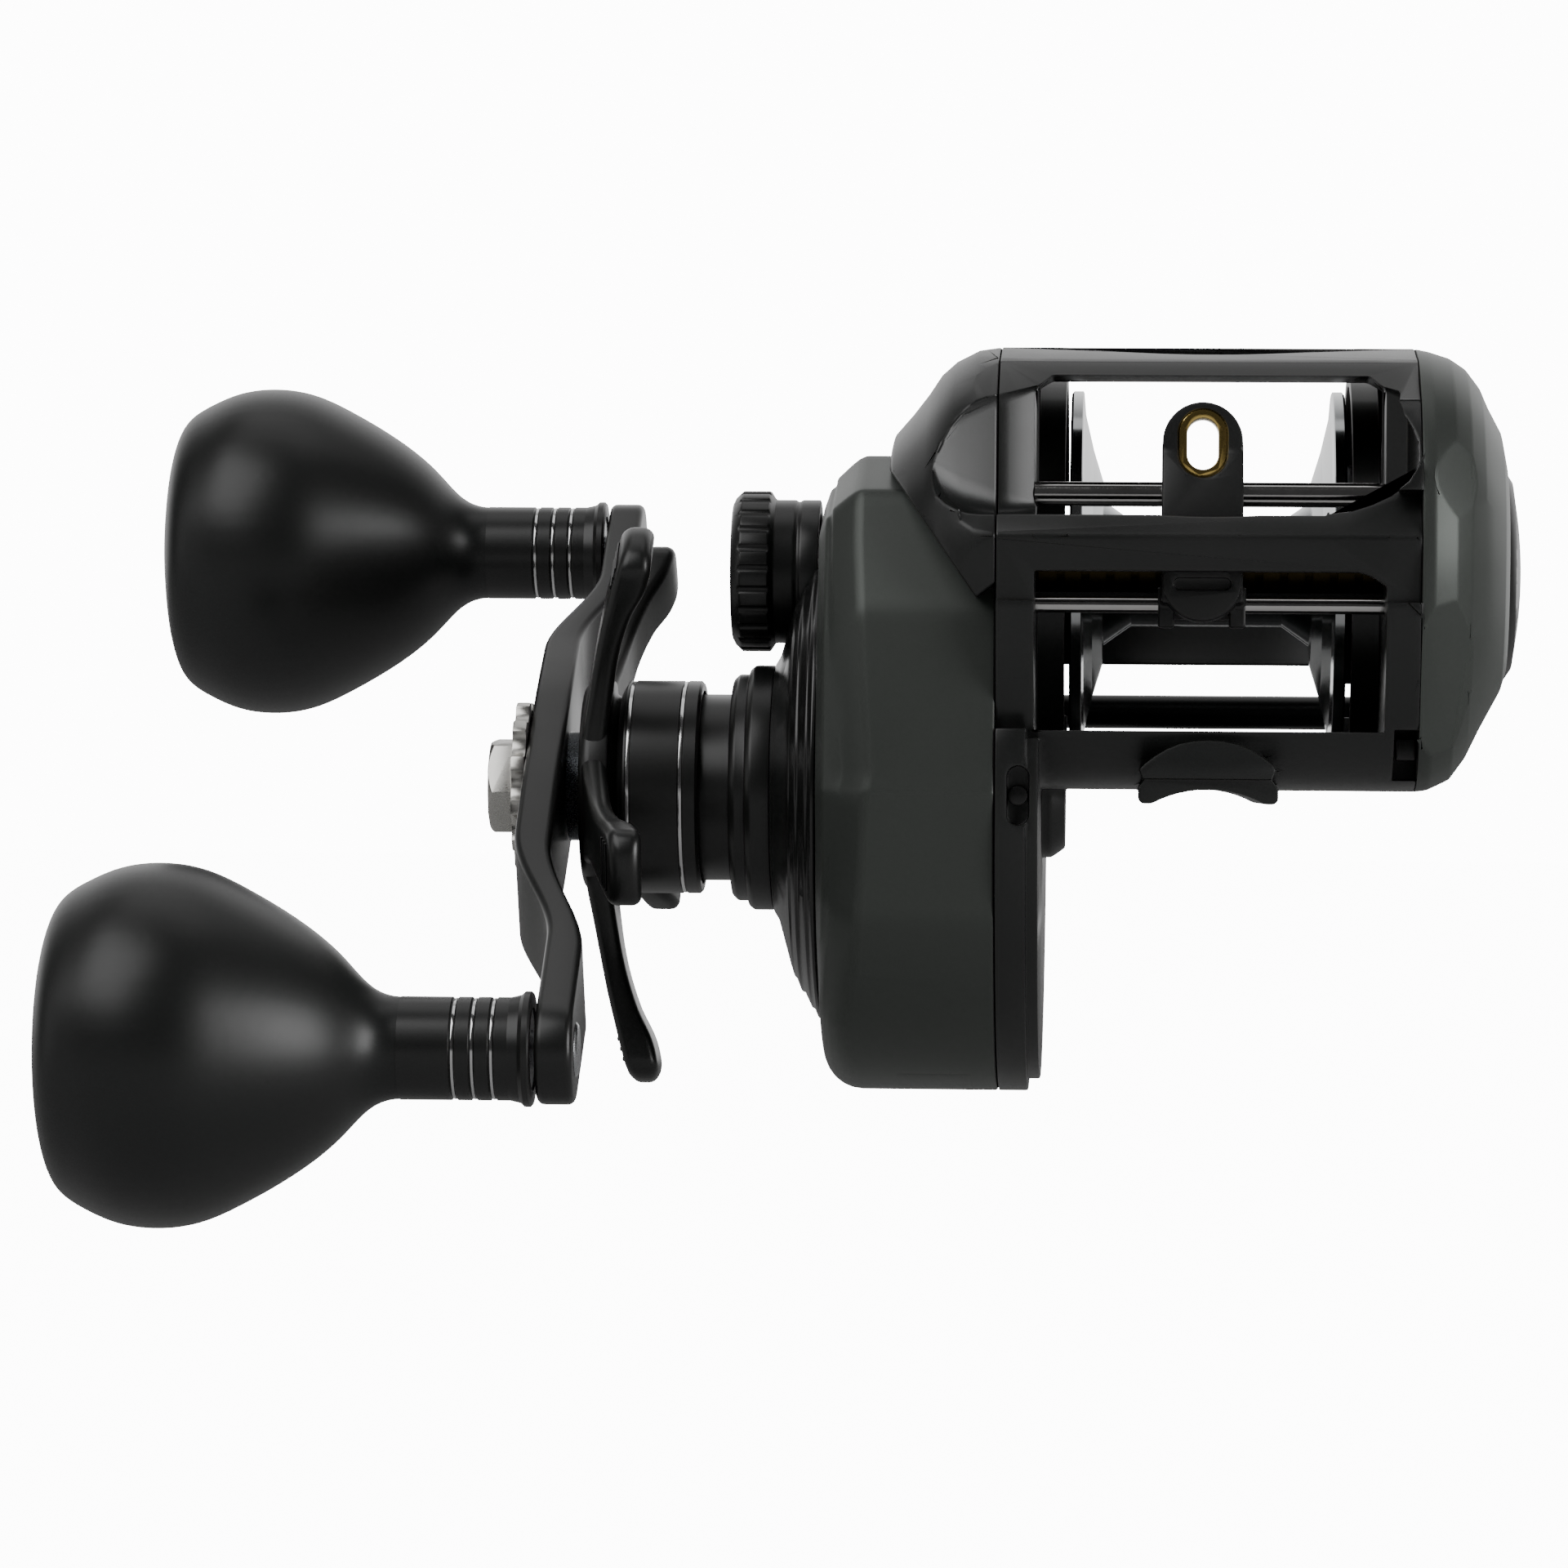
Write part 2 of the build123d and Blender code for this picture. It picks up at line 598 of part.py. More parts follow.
with BuildPart() as handle_nut:
    with BuildSketch(yz_plane(-78.2, drive_y, drive_z)):
        RegularPolygon(radius=9.6 / math.sqrt(3), side_count=6, rotation=8)
    extrude(amount=2.85)
    with BuildSketch(drive_plane):
        with BuildLine():
            Polyline((-78.3, 0), (-78.3, 4.55), (-77.5, 5.7), (-75.3, 5.7), (-75.3, 0), close=True)
        make_face()
    revolve(axis=drive_axis, mode=Mode.INTERSECT)
    with BuildSketch(yz_plane(-77.6, drive_y, drive_z)):
        Circle(shaft_out_r + 0.02)
    extrude(amount=4, mode=Mode.SUBTRACT)

with BuildPart() as nut_retainer:
    with BuildSketch(yz_plane(-75.3, drive_y, drive_z)):
        Circle(9.3)
        with PolarLocations(10.2, 12):
            Circle(1.9, mode=Mode.SUBTRACT)
        Circle(shaft_out_r + 0.02, mode=Mode.SUBTRACT)
    extrude(amount=1.55)

with BuildPart() as handle_spacer:
    with BuildSketch(yz_plane(-69.62, drive_y, drive_z)):
        Circle(6.0)
        Circle(shaft_r + 0.02, mode=Mode.SUBTRACT)
    extrude(amount=1.5)

with BuildPart() as knob_posts:
    for ky, kz in ((knob_a_y, knob_a_z), (knob_b_y, knob_b_z)):
        with BuildSketch(axial_plane(ky, kz)):
            with BuildLine():
                Polyline((-64.6, 0), (-64.6, 2.5), (-64.9, 2.9), (-64.9, 2.23), (-69.0, 2.23), (-69.0, 2.0), (-112.0, 2.0),
                         (-112.0, 3.1), (-113.6, 3.1), (-113.9, 2.8), (-113.9, 0), close=True)
            make_face()
        revolve(axis=axial(ky, kz))

# ===========================================================================
# Star drag
# ===========================================================================
with BuildPart() as star_arm:
    with BuildSketch(drive_plane):
        with BuildLine():
            Spline((-67.8, 7.0), (-66.6, 14.5), (-64.9, 23.0), (-64.0, 26.5), (-62.9, 30.6))
            Polyline((-62.9, 30.6), (-62.1, 32.0), (-60.8, star_r), (-59.7, 31.9), (-59.3, 30.4))
            Spline((-59.3, 30.4), (-60.0, 27.6), (-61.7, 24.0), (-63.2, 19.0), (-64.3, 12.4), (-65.0, 7.0))
            Line((-65.0, 7.0), (-67.8, 7.0))
        make_face()
    extrude(amount=9, both=True)
    with BuildSketch(yz_plane(-80, drive_y, drive_z)):
        with BuildLine():
            Spline((-7.4, 6.0), (-5.0, 12.0), (-3.5, 19.0), (-3.9, 25.5), (-4.3, 29.0), (-2.6, 32.0), (0, star_r),
                   (2.6, 32.0), (4.3, 29.0), (3.9, 25.5), (3.5, 19.0), (5.0, 12.0), (7.4, 6.0))
            Line((7.4, 6.0), (-7.4, 6.0))
        make_face()
    extrude(amount=30, mode=Mode.INTERSECT)

with BuildPart() as star_wheel:
    with BuildSketch(drive_plane):
        with BuildLine():
            Polyline((-63.6, 4.3), (-63.6, 9.5), (-65.0, 9.5), (-65.0, 11.6), (-67.3, 11.6), (-67.8, 11.1), (-67.8, 4.3), close=True)
        make_face()
    revolve(axis=drive_axis)
    for i in range(star_arms):
        add(star_arm.part.rotate(drive_axis, star_first + 360 / star_arms * i))

with BuildPart() as star_sleeve:
    with BuildSketch(drive_plane):
        with BuildLine():
            Polyline((-54.8, 10.6), (-54.8, 11.35), (-55.1, 11.65), (-56.4, 11.65), (-56.5, 11.5), (-56.9, 11.5), (-57.0, 11.65),
                     (-62.1, 11.65), (-62.2, 11.5), (-62.6, 11.5), (-62.7, 11.65), (-62.9, 11.6), (-63.6, 10.4), (-63.6, 4.4),
                     (-57.2, 4.4), (-57.2, 8.0), (-56.5, 8.0), (-56.5, 10.6), close=True)
        make_face()
    revolve(axis=drive_axis)

with BuildPart() as star_nut:
    with BuildSketch(yz_plane(-57.0, drive_y, drive_z)):
        RegularPolygon(radius=7.7, side_count=6)
        Circle(shaft_r + 0.06, mode=Mode.SUBTRACT)
    extrude(amount=3.4)

# ===========================================================================
# Knobs
# ===========================================================================
ball = [(0, 5.3), (2.6, 6.0), (5.9, 9.1), (10.9, 13.2), (16.25, 16.35), (20.6, 18.26), (25.2, 18.9), (29.4, 18.3),
        (32.3, 17.07), (35.1, 15.06), (36.0, 13.24), (36.7, 9.6)]
seam_x = -83.0


def knob_grip_profile():
    Spline(*[(seam_x - d, r) for d, r in ball])
    Polyline((seam_x - 36.7, 9.6), (-118.3, 9.6), (-118.3, 5.2), (-110.3, 5.2), (-110.3, 4.35), (-107.5, 4.35),
             (-107.5, 2.6), (-83.0, 2.6), (-83.0, 5.3))


def knob_collar_profile():
    Polyline((-83.0, 2.6), (-83.0, 5.35), (-77.65, 5.35), (-77.5, 5.15), (-77.1, 5.15), (-76.95, 5.35), (-75.6, 5.35),
             (-75.45, 5.15), (-75.05, 5.15), (-74.9, 5.35), (-73.6, 5.35), (-73.45, 5.15), (-73.05, 5.15), (-72.9, 5.35),
             (-71.6, 5.35), (-70.5, 5.6), (-70.1, 5.97), (-69.5, 5.97), (-69.3, 5.75), (-69.3, 4.3), (-72.1, 4.3),
             (-72.1, 2.6), close=True)


with BuildPart() as knob_grip_a:
    with BuildSketch(axial_plane(knob_a_y, knob_a_z)):
        with BuildLine():
            knob_grip_profile()
        make_face()
    revolve(axis=axial(knob_a_y, knob_a_z))

with BuildPart() as knob_grip_b:
    with BuildSketch(axial_plane(knob_b_y, knob_b_z)):
        with BuildLine():
            knob_grip_profile()
        make_face()
    revolve(axis=axial(knob_b_y, knob_b_z))

with BuildPart() as knob_collar_a:
    with BuildSketch(axial_plane(knob_a_y, knob_a_z)):
        with BuildLine():
            knob_collar_profile()
        make_face()
    revolve(axis=axial(knob_a_y, knob_a_z))

with BuildPart() as knob_collar_b:
    with BuildSketch(axial_plane(knob_b_y, knob_b_z)):
        with BuildLine():
            knob_collar_profile()
        make_face()
    revolve(axis=axial(knob_b_y, knob_b_z))

with BuildPart() as knob_bearings_a:
    for x0 in (-72.0, -110.2):
        with BuildSketch(yz_plane(x0, knob_a_y, knob_a_z)):
            Circle(4.3)
            Circle(2.05, mode=Mode.SUBTRACT)
        extrude(amount=2.5)

with BuildPart() as knob_bearings_b:
    for x0 in (-72.0, -110.2):
        with BuildSketch(yz_plane(x0, knob_b_y, knob_b_z)):
            Circle(4.3)
            Circle(2.05, mode=Mode.SUBTRACT)
        extrude(amount=2.5)

with BuildPart() as knob_cap_a:
    with BuildSketch(axial_plane(knob_a_y, knob_a_z)):
        with BuildLine():
            Polyline((-118.35, 0), (-118.35, 9.5), (-119.5, 9.5), (-119.9, 9.0), (-120.2, 0), close=True)
        make_face()
    revolve(axis=axial(knob_a_y, knob_a_z))

with BuildPart() as knob_cap_b:
    with BuildSketch(axial_plane(knob_b_y, knob_b_z)):
        with BuildLine():
            Polyline((-118.35, 0), (-118.35, 9.5), (-119.5, 9.5), (-119.9, 9.0), (-120.2, 0), close=True)
        make_face()
    revolve(axis=axial(knob_b_y, knob_b_z))

# ===========================================================================
# Cast control
# ===========================================================================
with BuildPart() as cast_control_cap:
    with BuildSketch(spool_plane):
        with BuildLine():
            Polyline((-42.4, 6.36), (-42.4, 7.9), (-44.4, 7.9), (-44.6, 7.7), (-44.9, 7.7), (-45.1, 7.9), (-47.3, 7.9),
                     (-47.9, 8.85), (-50.9, 8.85), (-51.7, 8.1), (-52.0, 7.5), (-52.0, 0), (-49.5, 0), (-49.5, 6.36), close=True)
        make_face()
    revolve(axis=spool_axis)
    with BuildSketch(yz_plane(-52.5, spool_y, spool_z)):
        with PolarLocations(9.15, 24):
            Circle(0.55)
    extrude(amount=5.0, mode=Mode.SUBTRACT)

with BuildPart() as cast_control_shim:
    with BuildSketch(yz_plane(-49.5, spool_y, spool_z)):
        Circle(4.0)
    extrude(amount=0.4)

# ===========================================================================
# Spool
# ===========================================================================
with BuildPart() as spool:
    half = [(8.2, 5.8), (11.2, 7.9), (11.35, 10.1), (12.4, 13.5), (13.3, 17.4), (13.5, 19.8), (13.6, 20.0), (14.6, 20.0),
            (14.85, 19.7), (14.85, 18.8), (14.1, 16.5), (13.3, 13.0), (13.1, 11.0), (13.1, 4.5), (14.6, 3.6), (14.6, 1.5)]
    with BuildSketch(spool_plane):
        with BuildLine():
            Polyline(*half, *[(-x, r) for x, r in reversed(half)], close=True)
        make_face()
    revolve(axis=spool_axis)
    # line holes through the arbor
    with BuildSketch(Plane.XY.offset(spool_z - 12)):
        with Locations((-3.6, 0), (3.6, 0)):
            Circle(0.9)
    extrude(amount=24, mode=Mode.SUBTRACT)

with BuildPart() as spool_shaft:
    with BuildSketch(spool_plane):
        with BuildLine():
            Polyline((-49.0, 0), (-48.8, 1.2), (-48.5, spool_shaft_r), (25.0, spool_shaft_r), (25.4, 1.2), (25.5, 0), close=True)
        make_face()
    revolve(axis=spool_axis)
    # cross pin that the pinion drives
    with BuildSketch(Plane.XY.offset(spool_z - 3.2)):
        with Locations((-23.6, 0)):
            Circle(0.6)
    extrude(amount=6.4)

with BuildPart() as brake_cup:
    with BuildSketch(spool_plane):
        with BuildLine():
            Polyline((13.35, 8.0), (14.0, 8.0), (14.0, 11.4), (17.6, 11.4), (17.6, 12.0), (13.7, 12.0), (13.35, 11.5), close=True)
        make_face()
    revolve(axis=spool_axis)

with BuildPart() as spool_bearings:
    for x0, x1, ro in ((-21.9, -19.0, 5.45), (22.6, 25.2, 4.95), (-47.9, -45.4, 4.15)):
        with BuildSketch(yz_plane(x0, spool_y, spool_z)):
            Circle(ro)
            Circle(spool_shaft_r + 0.06, mode=Mode.SUBTRACT)
        extrude(amount=x1 - x0)

# ===========================================================================
# Clutch
# ===========================================================================
with BuildPart() as pinion_gear:
    with BuildSketch(yz_plane(-33.6, spool_y, spool_z)):
        with BuildLine():
            Polyline(*gear_points(pinion_teeth, gear_mod, ang_drive_spool + 180 + 180 / pinion_teeth, flank=4), close=True)
        make_face()
    extrude(amount=33.6 - 26.2)
    with BuildSketch(yz_plane(-26.2, spool_y, spool_z)):
        Circle(2.3)
    extrude(amount=1.4)
    with BuildSketch(yz_plane(-24.9, spool_y, spool_z)):
        Circle(4.0)
    extrude(amount=2.2)
    with BuildSketch(yz_plane(-33.6, spool_y, spool_z)):
        Circle(2.35)
    extrude(amount=-7.0)
    with BuildSketch(yz_plane(-42, spool_y, spool_z)):
        Circle(1.6)
    extrude(amount=24, mode=Mode.SUBTRACT)
    # slot for the cross pin of the spool shaft
    with BuildSketch(yz_plane(-24.6, spool_y, spool_z)):
        Rectangle(1.5, 12)
    extrude(amount=3, mode=Mode.SUBTRACT)

with BuildPart() as clutch_yoke:
    with BuildSketch(yz_plane(-26.05, spool_y, spool_z)):
        with BuildLine():
            Polyline((-12.4, 1.0), (-6.0, -0.6), (6.0, -0.6), (12.4, 1.0), (12.4, 3.2), (10.1, 3.2), (9.4, 4.8), (-9.4, 4.8),
                     (-10.1, 3.2), (-12.4, 3.2), close=True)
        make_face()
        Circle(2.45, mode=Mode.SUBTRACT)
        with Locations((0, -2.0)):
            Rectangle(4.9, 4.0, mode=Mode.SUBTRACT)
        with Locations((-8.5, 2.0), (8.5, 2.0)):
            Circle(1.07, mode=Mode.SUBTRACT)
    extrude(amount=1.0)

with BuildPart() as clutch_posts:
    for py in (-8.5, 8.5):
        with BuildSketch(yz_plane(-37.4, py, 27.2)):
            Circle(0.98)
        extrude(amount=17.7)
        with BuildSketch(yz_plane(-37.4, py, 27.2)):
            Circle(2.0)
        extrude(amount=0.8)

with BuildPart() as yoke_springs:
    for py in (-8.5, 8.5):
        spring_line = Helix(pitch=1.9, height=9.5, radius=1.55, center=(-26.5, py, 27.2), direction=(-1, 0, 0))
        with BuildSketch(Plane(origin=spring_line @ 0, z_dir=spring_line % 0)):
            Circle(0.25)
        sweep(path=spring_line, is_frenet=True)

with BuildPart() as clutch_plate:
    with BuildSketch(yz_plane(-24.2, 0, 0)):
        with Locations((0, 35.0)):
            Rectangle(27.0, 4.0)
        with Locations((11.7, 29.0)):
            Rectangle(3.6, 16.0)
        with Locations((-11.7, 32.0)):
            Rectangle(3.6, 10.0)
        with Locations((18.0, 23.0)):
            Rectangle(13.2, 4.0)
    extrude(amount=1.4)
    # ramps that lift the yoke
    for py in (-12.6, 10.4):
        with BuildSketch(Plane.XZ.offset(-py)):
            with BuildLine():
                Polyline((-24.1, 27.1), (-24.9, 27.1), (-24.9, 28.4), (-26.9, 31.4), (-26.9, 33.6), (-24.1, 33.6), close=True)
            make_face()
        extrude(amount=-2.2)

with BuildPart() as thumb_bar:
    with BuildSketch(yz_plane(-17.8, spool_y, spool_z)):
        Circle(thumb_out_r)
        Circle(thumb_in_r, mode=Mode.SUBTRACT)
        with Locations((-30, 0)):
            Rectangle(80, 80, mode=Mode.SUBTRACT)
        with Locations((20, 5.8 + 20)):
            Rectangle(60, 40, mode=Mode.SUBTRACT)
        with Locations((20, -9.6 - 20)):
            Rectangle(60, 40, mode=Mode.SUBTRACT)
    extrude(amount=35.6)
    with BuildSketch(yz_plane(-22.8, 23.3, 23.0)):
        Rectangle(2.6, 4.0)
    extrude(amount=5.2)
    with BuildSketch(yz_plane(17.6, 23.3, 23.0)):
        Rectangle(2.6, 4.0)
    extrude(amount=2.9)

# ===========================================================================
# Level wind
# ===========================================================================
with BuildPart() as idler_gear:
    with BuildSketch(yz_plane(-25.1, idler_y, idler_z)):
        with BuildLine():
            Polyline(*gear_points(idler_teeth, lw_mod, ang_drive_worm + 180 / idler_teeth, flank=3), close=True)
        make_face()
        Circle(2.05, mode=Mode.SUBTRACT)
    extrude(amount=2.2)

with BuildPart() as worm_gear:
    with BuildSketch(yz_plane(-25.1, worm_y, worm_z)):
        with BuildLine():
            Polyline(*gear_points(worm_teeth, lw_mod, ang_drive_worm + 180, flank=3), close=True)
        make_face()
        Circle(2.0, mode=Mode.SUBTRACT)
    extrude(amount=2.2)

with BuildPart() as worm_shaft:
    with BuildSketch(worm_plane):
        with BuildLine():
            Polyline((-25.4, 0), (-25.4, 1.95), (-17.9, 1.95), (-17.9, worm_r), (17.7, worm_r), (17.7, 1.95), (20.9, 1.95), (20.9, 0), close=True)
        make_face()
    revolve(axis=worm_axis)
    # ring-shaped traces of the crossed groove
    with BuildSketch(worm_plane):
        with Locations(*[(-15.6 + 2.6 * i, worm_r) for i in range(13)]):
            Rectangle(0.9, 1.1)
    revolve(axis=worm_axis, mode=Mode.SUBTRACT)

with BuildPart() as worm_bushings:
    for x0, x1 in ((-22.1, -18.3), (18.3, 21.1)):
        with BuildSketch(yz_plane(x0, worm_y, worm_z)):
            Circle(3.58)
            Circle(2.0, mode=Mode.SUBTRACT)
        extrude(amount=x1 - x0)

with BuildPart() as worm_guard:
    with BuildSketch(yz_plane(-18.2, worm_y, worm_z)):
        Circle(guard_r)
        Circle(3.35, mode=Mode.SUBTRACT)
        with Locations((-3.2, -1.0)):
            Rectangle(3.4, 6.6, mode=Mode.SUBTRACT)
    extrude(amount=36.4)

with BuildPart() as upper_guide_rod:
    with BuildSketch(yz_plane(-20.2, *rod_up)):
        Circle(rod_up_r)
    extrude(amount=40.4)

with BuildPart() as lower_guide_rod:
    with BuildSketch(yz_plane(-20.2, *rod_lo)):
        Circle(rod_lo_r)
    extrude(amount=40.4)

guide_w = 8.5
with BuildPart() as line_guide:
    # block round the worm guard and the upper rod
    with BuildSketch(yz_plane(guide_x - guide_w / 2, 0, 0)):
        with BuildLine():
            Polyline((-36.6, 21.0), (-36.6, 29.5), (-35.2, 34.5), (-33.6, 37.0), (-33.4, 42.2), (-28.8, 42.2), (-28.4, 34.8),
                     (-24.9, 30.0), (-24.9, 21.6), (-27.4, 19.4), (-30.0, 19.4), (-32.0, 19.9), close=True)
        make_face()
    extrude(amount=guide_w)
    # front boss for the pawl
    with BuildSketch(Plane.XZ.offset(31.0)):
        with Locations((guide_x, 23.2)):
            Circle(4.2)
    extrude(amount=5.6)
    # two clips round the lower rod
    for cx in (-3.7, 3.7):
        with BuildSketch(yz_plane(guide_x + cx - 0.85, 0, 0)):
            with BuildLine():
                Polyline((-35.4, 22.6), (-35.4, 18.4), (-31.8, 18.4), (-31.8, 22.6), close=True)
            make_face()
        extrude(amount=1.7)
    # rounded top
    with BuildSketch(Plane.XZ.offset(20)):
        with BuildLine():
            l1 = Line((guide_x - 4.9, 17), (guide_x - 4.9, 31.0))
            l2 = Line(l1 @ 1, (guide_x - 4.2, 37.9))
            l3 = ThreePointArc(l2 @ 1, (guide_x, 42.1), (guide_x + 4.2, 37.9))
            l4 = Line(l3 @ 1, (guide_x + 4.9, 31.0))
            l5 = Line(l4 @ 1, (guide_x + 4.9, 17))
            l6 = Line(l5 @ 1, l1 @ 0)
        make_face()
    extrude(amount=20, mode=Mode.INTERSECT)
    # bores
    with BuildSketch(yz_plane(-12, worm_y, worm_z)):
        Circle(guard_r + 0.35)
    extrude(amount=24, mode=Mode.SUBTRACT)
    with BuildSketch(yz_plane(-12, *rod_up)):
        Circle(rod_up_r + 0.06)
    extrude(amount=24, mode=Mode.SUBTRACT)
    with BuildSketch(yz_plane(-12, *rod_lo)):
        Circle(rod_lo_r + 0.06)
    extrude(amount=24, mode=Mode.SUBTRACT)
    # pawl bore
    with BuildSketch(Plane.XZ.offset(31.0)):
        with Locations((guide_x, worm_z)):
            Circle(1.9)
    extrude(amount=8, mode=Mode.SUBTRACT)
    # line slot
    with BuildSketch(Plane.XZ.offset(24)):
        with Locations((guide_x, 37.7)):
            SlotOverall(7.2, 5.0, rotation=90)
    extrude(amount=14, mode=Mode.SUBTRACT)

with BuildPart() as guide_insert:
    with BuildSketch(Plane.XZ.offset(28.6)):
        with Locations((guide_x, 37.7)):
            SlotOverall(7.2, 5.0, rotation=90)
    extrude(amount=5.1)
    with BuildSketch(Plane.XZ.offset(28.0)):
        with Locations((guide_x, 37.7)):
            SlotOverall(5.4, 3.3, rotation=90)
    extrude(amount=7, mode=Mode.SUBTRACT)

with BuildPart() as pawl:
    with BuildSketch(Plane.XZ.offset(33.5)):
        with Locations((guide_x, worm_z)):
            Circle(1.85)
    extrude(amount=3.0)
    with BuildSketch(Plane.XZ.offset(33.1)):
        with Locations((guide_x, worm_z)):
            Rectangle(2.6, 0.8)
    extrude(amount=0.5)

with BuildPart() as pawl_cap:
    with BuildSketch(Plane.XZ.offset(36.62)):
        with Locations((guide_x, 23.2)):
            Circle(4.1)
    extrude(amount=0.8)
    with BuildSketch(Plane.XZ.offset(37.0)):
        with Locations((guide_x, 22.9)):
            SlotOverall(6.0, 1.3)
    extrude(amount=1.0, mode=Mode.SUBTRACT)

# ===========================================================================
# Palm side
# ===========================================================================
palm_c = (-4.0, 25.5)
with BuildPart() as palm_side_cover:
    with BuildSketch(Plane.YZ.offset(wall_palm_out + 0.05)):
        with BuildLine():
            Spline(*frame_outline, periodic=True)
        make_face()
    with BuildSketch(Plane.YZ.offset(25.5)):
        with BuildLine():
            Spline(*scaled(frame_outline, 0.957, *palm_c), periodic=True)
        make_face()
    with BuildSketch(Plane.YZ.offset(28.5)):
        with BuildLine():
            Spline(*scaled(frame_outline, 0.81, *palm_c), periodic=True)
        make_face()
    with BuildSketch(Plane.YZ.offset(30.3)):
        with BuildLine():
            Spline(*scaled(frame_outline, 0.67, *palm_c), periodic=True)
        make_face()
    with BuildSketch(Plane.YZ.offset(31.6)):
        with BuildLine():
            Spline(*scaled(frame_outline, 0.50, *palm_c), periodic=True)
        make_face()
    loft()
    for x0, x1, k in ((21.0, 24.0, 0.93), (23.9, 26.8, 0.80), (26.7, 29.2, 0.58)):
        with BuildSketch(Plane.YZ.offset(x0)):
            with BuildLine():
                Polyline(*scaled(frame_outline, k, *palm_c), close=True)
            make_face()
        extrude(amount=x1 - x0, mode=Mode.SUBTRACT)
    with BuildSketch(yz_plane(28, spool_y, spool_z)):
        Circle(4.06)
    extrude(amount=6, mode=Mode.SUBTRACT)

with BuildPart() as palm_inner_plate:
    with BuildSketch(spool_plane):
        with BuildLine():
            Polyline((20.7, 1.9), (20.7, 6.0), (21.2, 6.0), (21.2, 20.4), (22.6, 20.4), (22.6, 6.0), (26.4, 6.0), (26.4, 4.95),
                     (22.6, 4.95), (22.6, 1.9), close=True)
        make_face()
    revolve(axis=spool_axis)

with BuildPart() as magnet_holder:
    with BuildSketch(spool_plane):
        with BuildLine():
            Polyline((19.4, 6.4), (19.4, 14.0), (20.6, 14.0), (20.6, 6.4), close=True)
        make_face()
    revolve(axis=spool_axis)
    with BuildSketch(yz_plane(17.9, spool_y, spool_z)):
        with PolarLocations(9.7, 6):
            Circle(1.15)
    extrude(amount=1.6)

with BuildPart() as brake_dial:
    with BuildSketch(spool_plane):
        with BuildLine():
            Polyline((31.7, 0), (31.7, 11.5), (32.5, 11.5), (33.3, 10.3))
            Spline((33.3, 10.3), (33.95, 6.0), (34.3, 0), tangents=[(0.15, -1), (0, -1)])
            Line((34.3, 0), (31.7, 0))
        make_face()
    revolve(axis=spool_axis)
    with BuildSketch(yz_plane(28.0, spool_y, spool_z)):
        Circle(4.0)
    extrude(amount=3.8)

with BuildPart() as release_latch:
    with BuildSketch(yz_plane(19.6, -31.2, 5.85)):
        Rectangle(3.4, 2.2)
    extrude(amount=2.0)

# ===========================================================================
# Fasteners
# ===========================================================================
with BuildPart() as cover_screws:
    for sy, sz in cover_screw_at:
        with BuildSketch(yz_plane(-18.85, sy, sz)):
            Circle(2.0)
        extrude(amount=1.0)
        with BuildSketch(yz_plane(-18.85, sy, sz)):
            Circle(0.98)
        extrude(amount=-6.6)
    with BuildSketch(Plane.XZ.offset(36.25)):
        with Locations((-19.8, 0.75)):
            Circle(1.0)
    extrude(amount=1.2)

pieces = {
    "frame": frame, "gear_side_cover": gear_side_cover, "port_cover": port_cover, "drive_housing": drive_housing,
    "drive_collar": drive_collar, "one_way_bearing": one_way_bearing, "drive_shaft_bearing": drive_shaft_bearing,
    "drive_shaft": drive_shaft, "levelwind_drive_gear": levelwind_drive_gear, "drive_gear": drive_gear,
    "drag_washers": drag_washers, "drag_disc": drag_disc, "drag_pressure_plate": drag_pressure_plate,
    "anti_reverse_sleeve": anti_reverse_sleeve, "drag_spring_washers": drag_spring_washers, "handle_arm": handle_arm,
    "handle_nut": handle_nut, "nut_retainer": nut_retainer, "handle_spacer": handle_spacer, "knob_posts": knob_posts,
    "star_wheel": star_wheel, "star_sleeve": star_sleeve, "star_nut": star_nut,
    "knob_grip_a": knob_grip_a, "knob_grip_b": knob_grip_b, "knob_collar_a": knob_collar_a, "knob_collar_b": knob_collar_b,
    "knob_bearings_a": knob_bearings_a, "knob_bearings_b": knob_bearings_b, "knob_cap_a": knob_cap_a, "knob_cap_b": knob_cap_b,
    "cast_control_cap": cast_control_cap, "cast_control_shim": cast_control_shim,
    "spool": spool, "spool_shaft": spool_shaft, "brake_cup": brake_cup, "spool_bearings": spool_bearings,
    "pinion_gear": pinion_gear, "clutch_yoke": clutch_yoke, "clutch_posts": clutch_posts, "yoke_springs": yoke_springs,
    "clutch_plate": clutch_plate, "thumb_bar": thumb_bar, "idler_gear": idler_gear, "worm_gear": worm_gear,
    "worm_shaft": worm_shaft, "worm_bushings": worm_bushings, "worm_guard": worm_guard,
    "upper_guide_rod": upper_guide_rod, "lower_guide_rod": lower_guide_rod, "line_guide": line_guide,
    "guide_insert": guide_insert, "pawl": pawl, "pawl_cap": pawl_cap, "palm_side_cover": palm_side_cover,
    "palm_inner_plate": palm_inner_plate, "magnet_holder": magnet_holder, "brake_dial": brake_dial,
    "release_latch": release_latch, "cover_screws": cover_screws,
}

for name, piece in pieces.items():
    piece.part.label = name
    export_step(piece.part, f"parts/{name}.step")
    print(name, len(piece.part.solids()), round(piece.part.volume, 2), piece.part.is_valid)
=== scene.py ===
import bpy, bmesh, math, json
from mathutils import Vector, Matrix

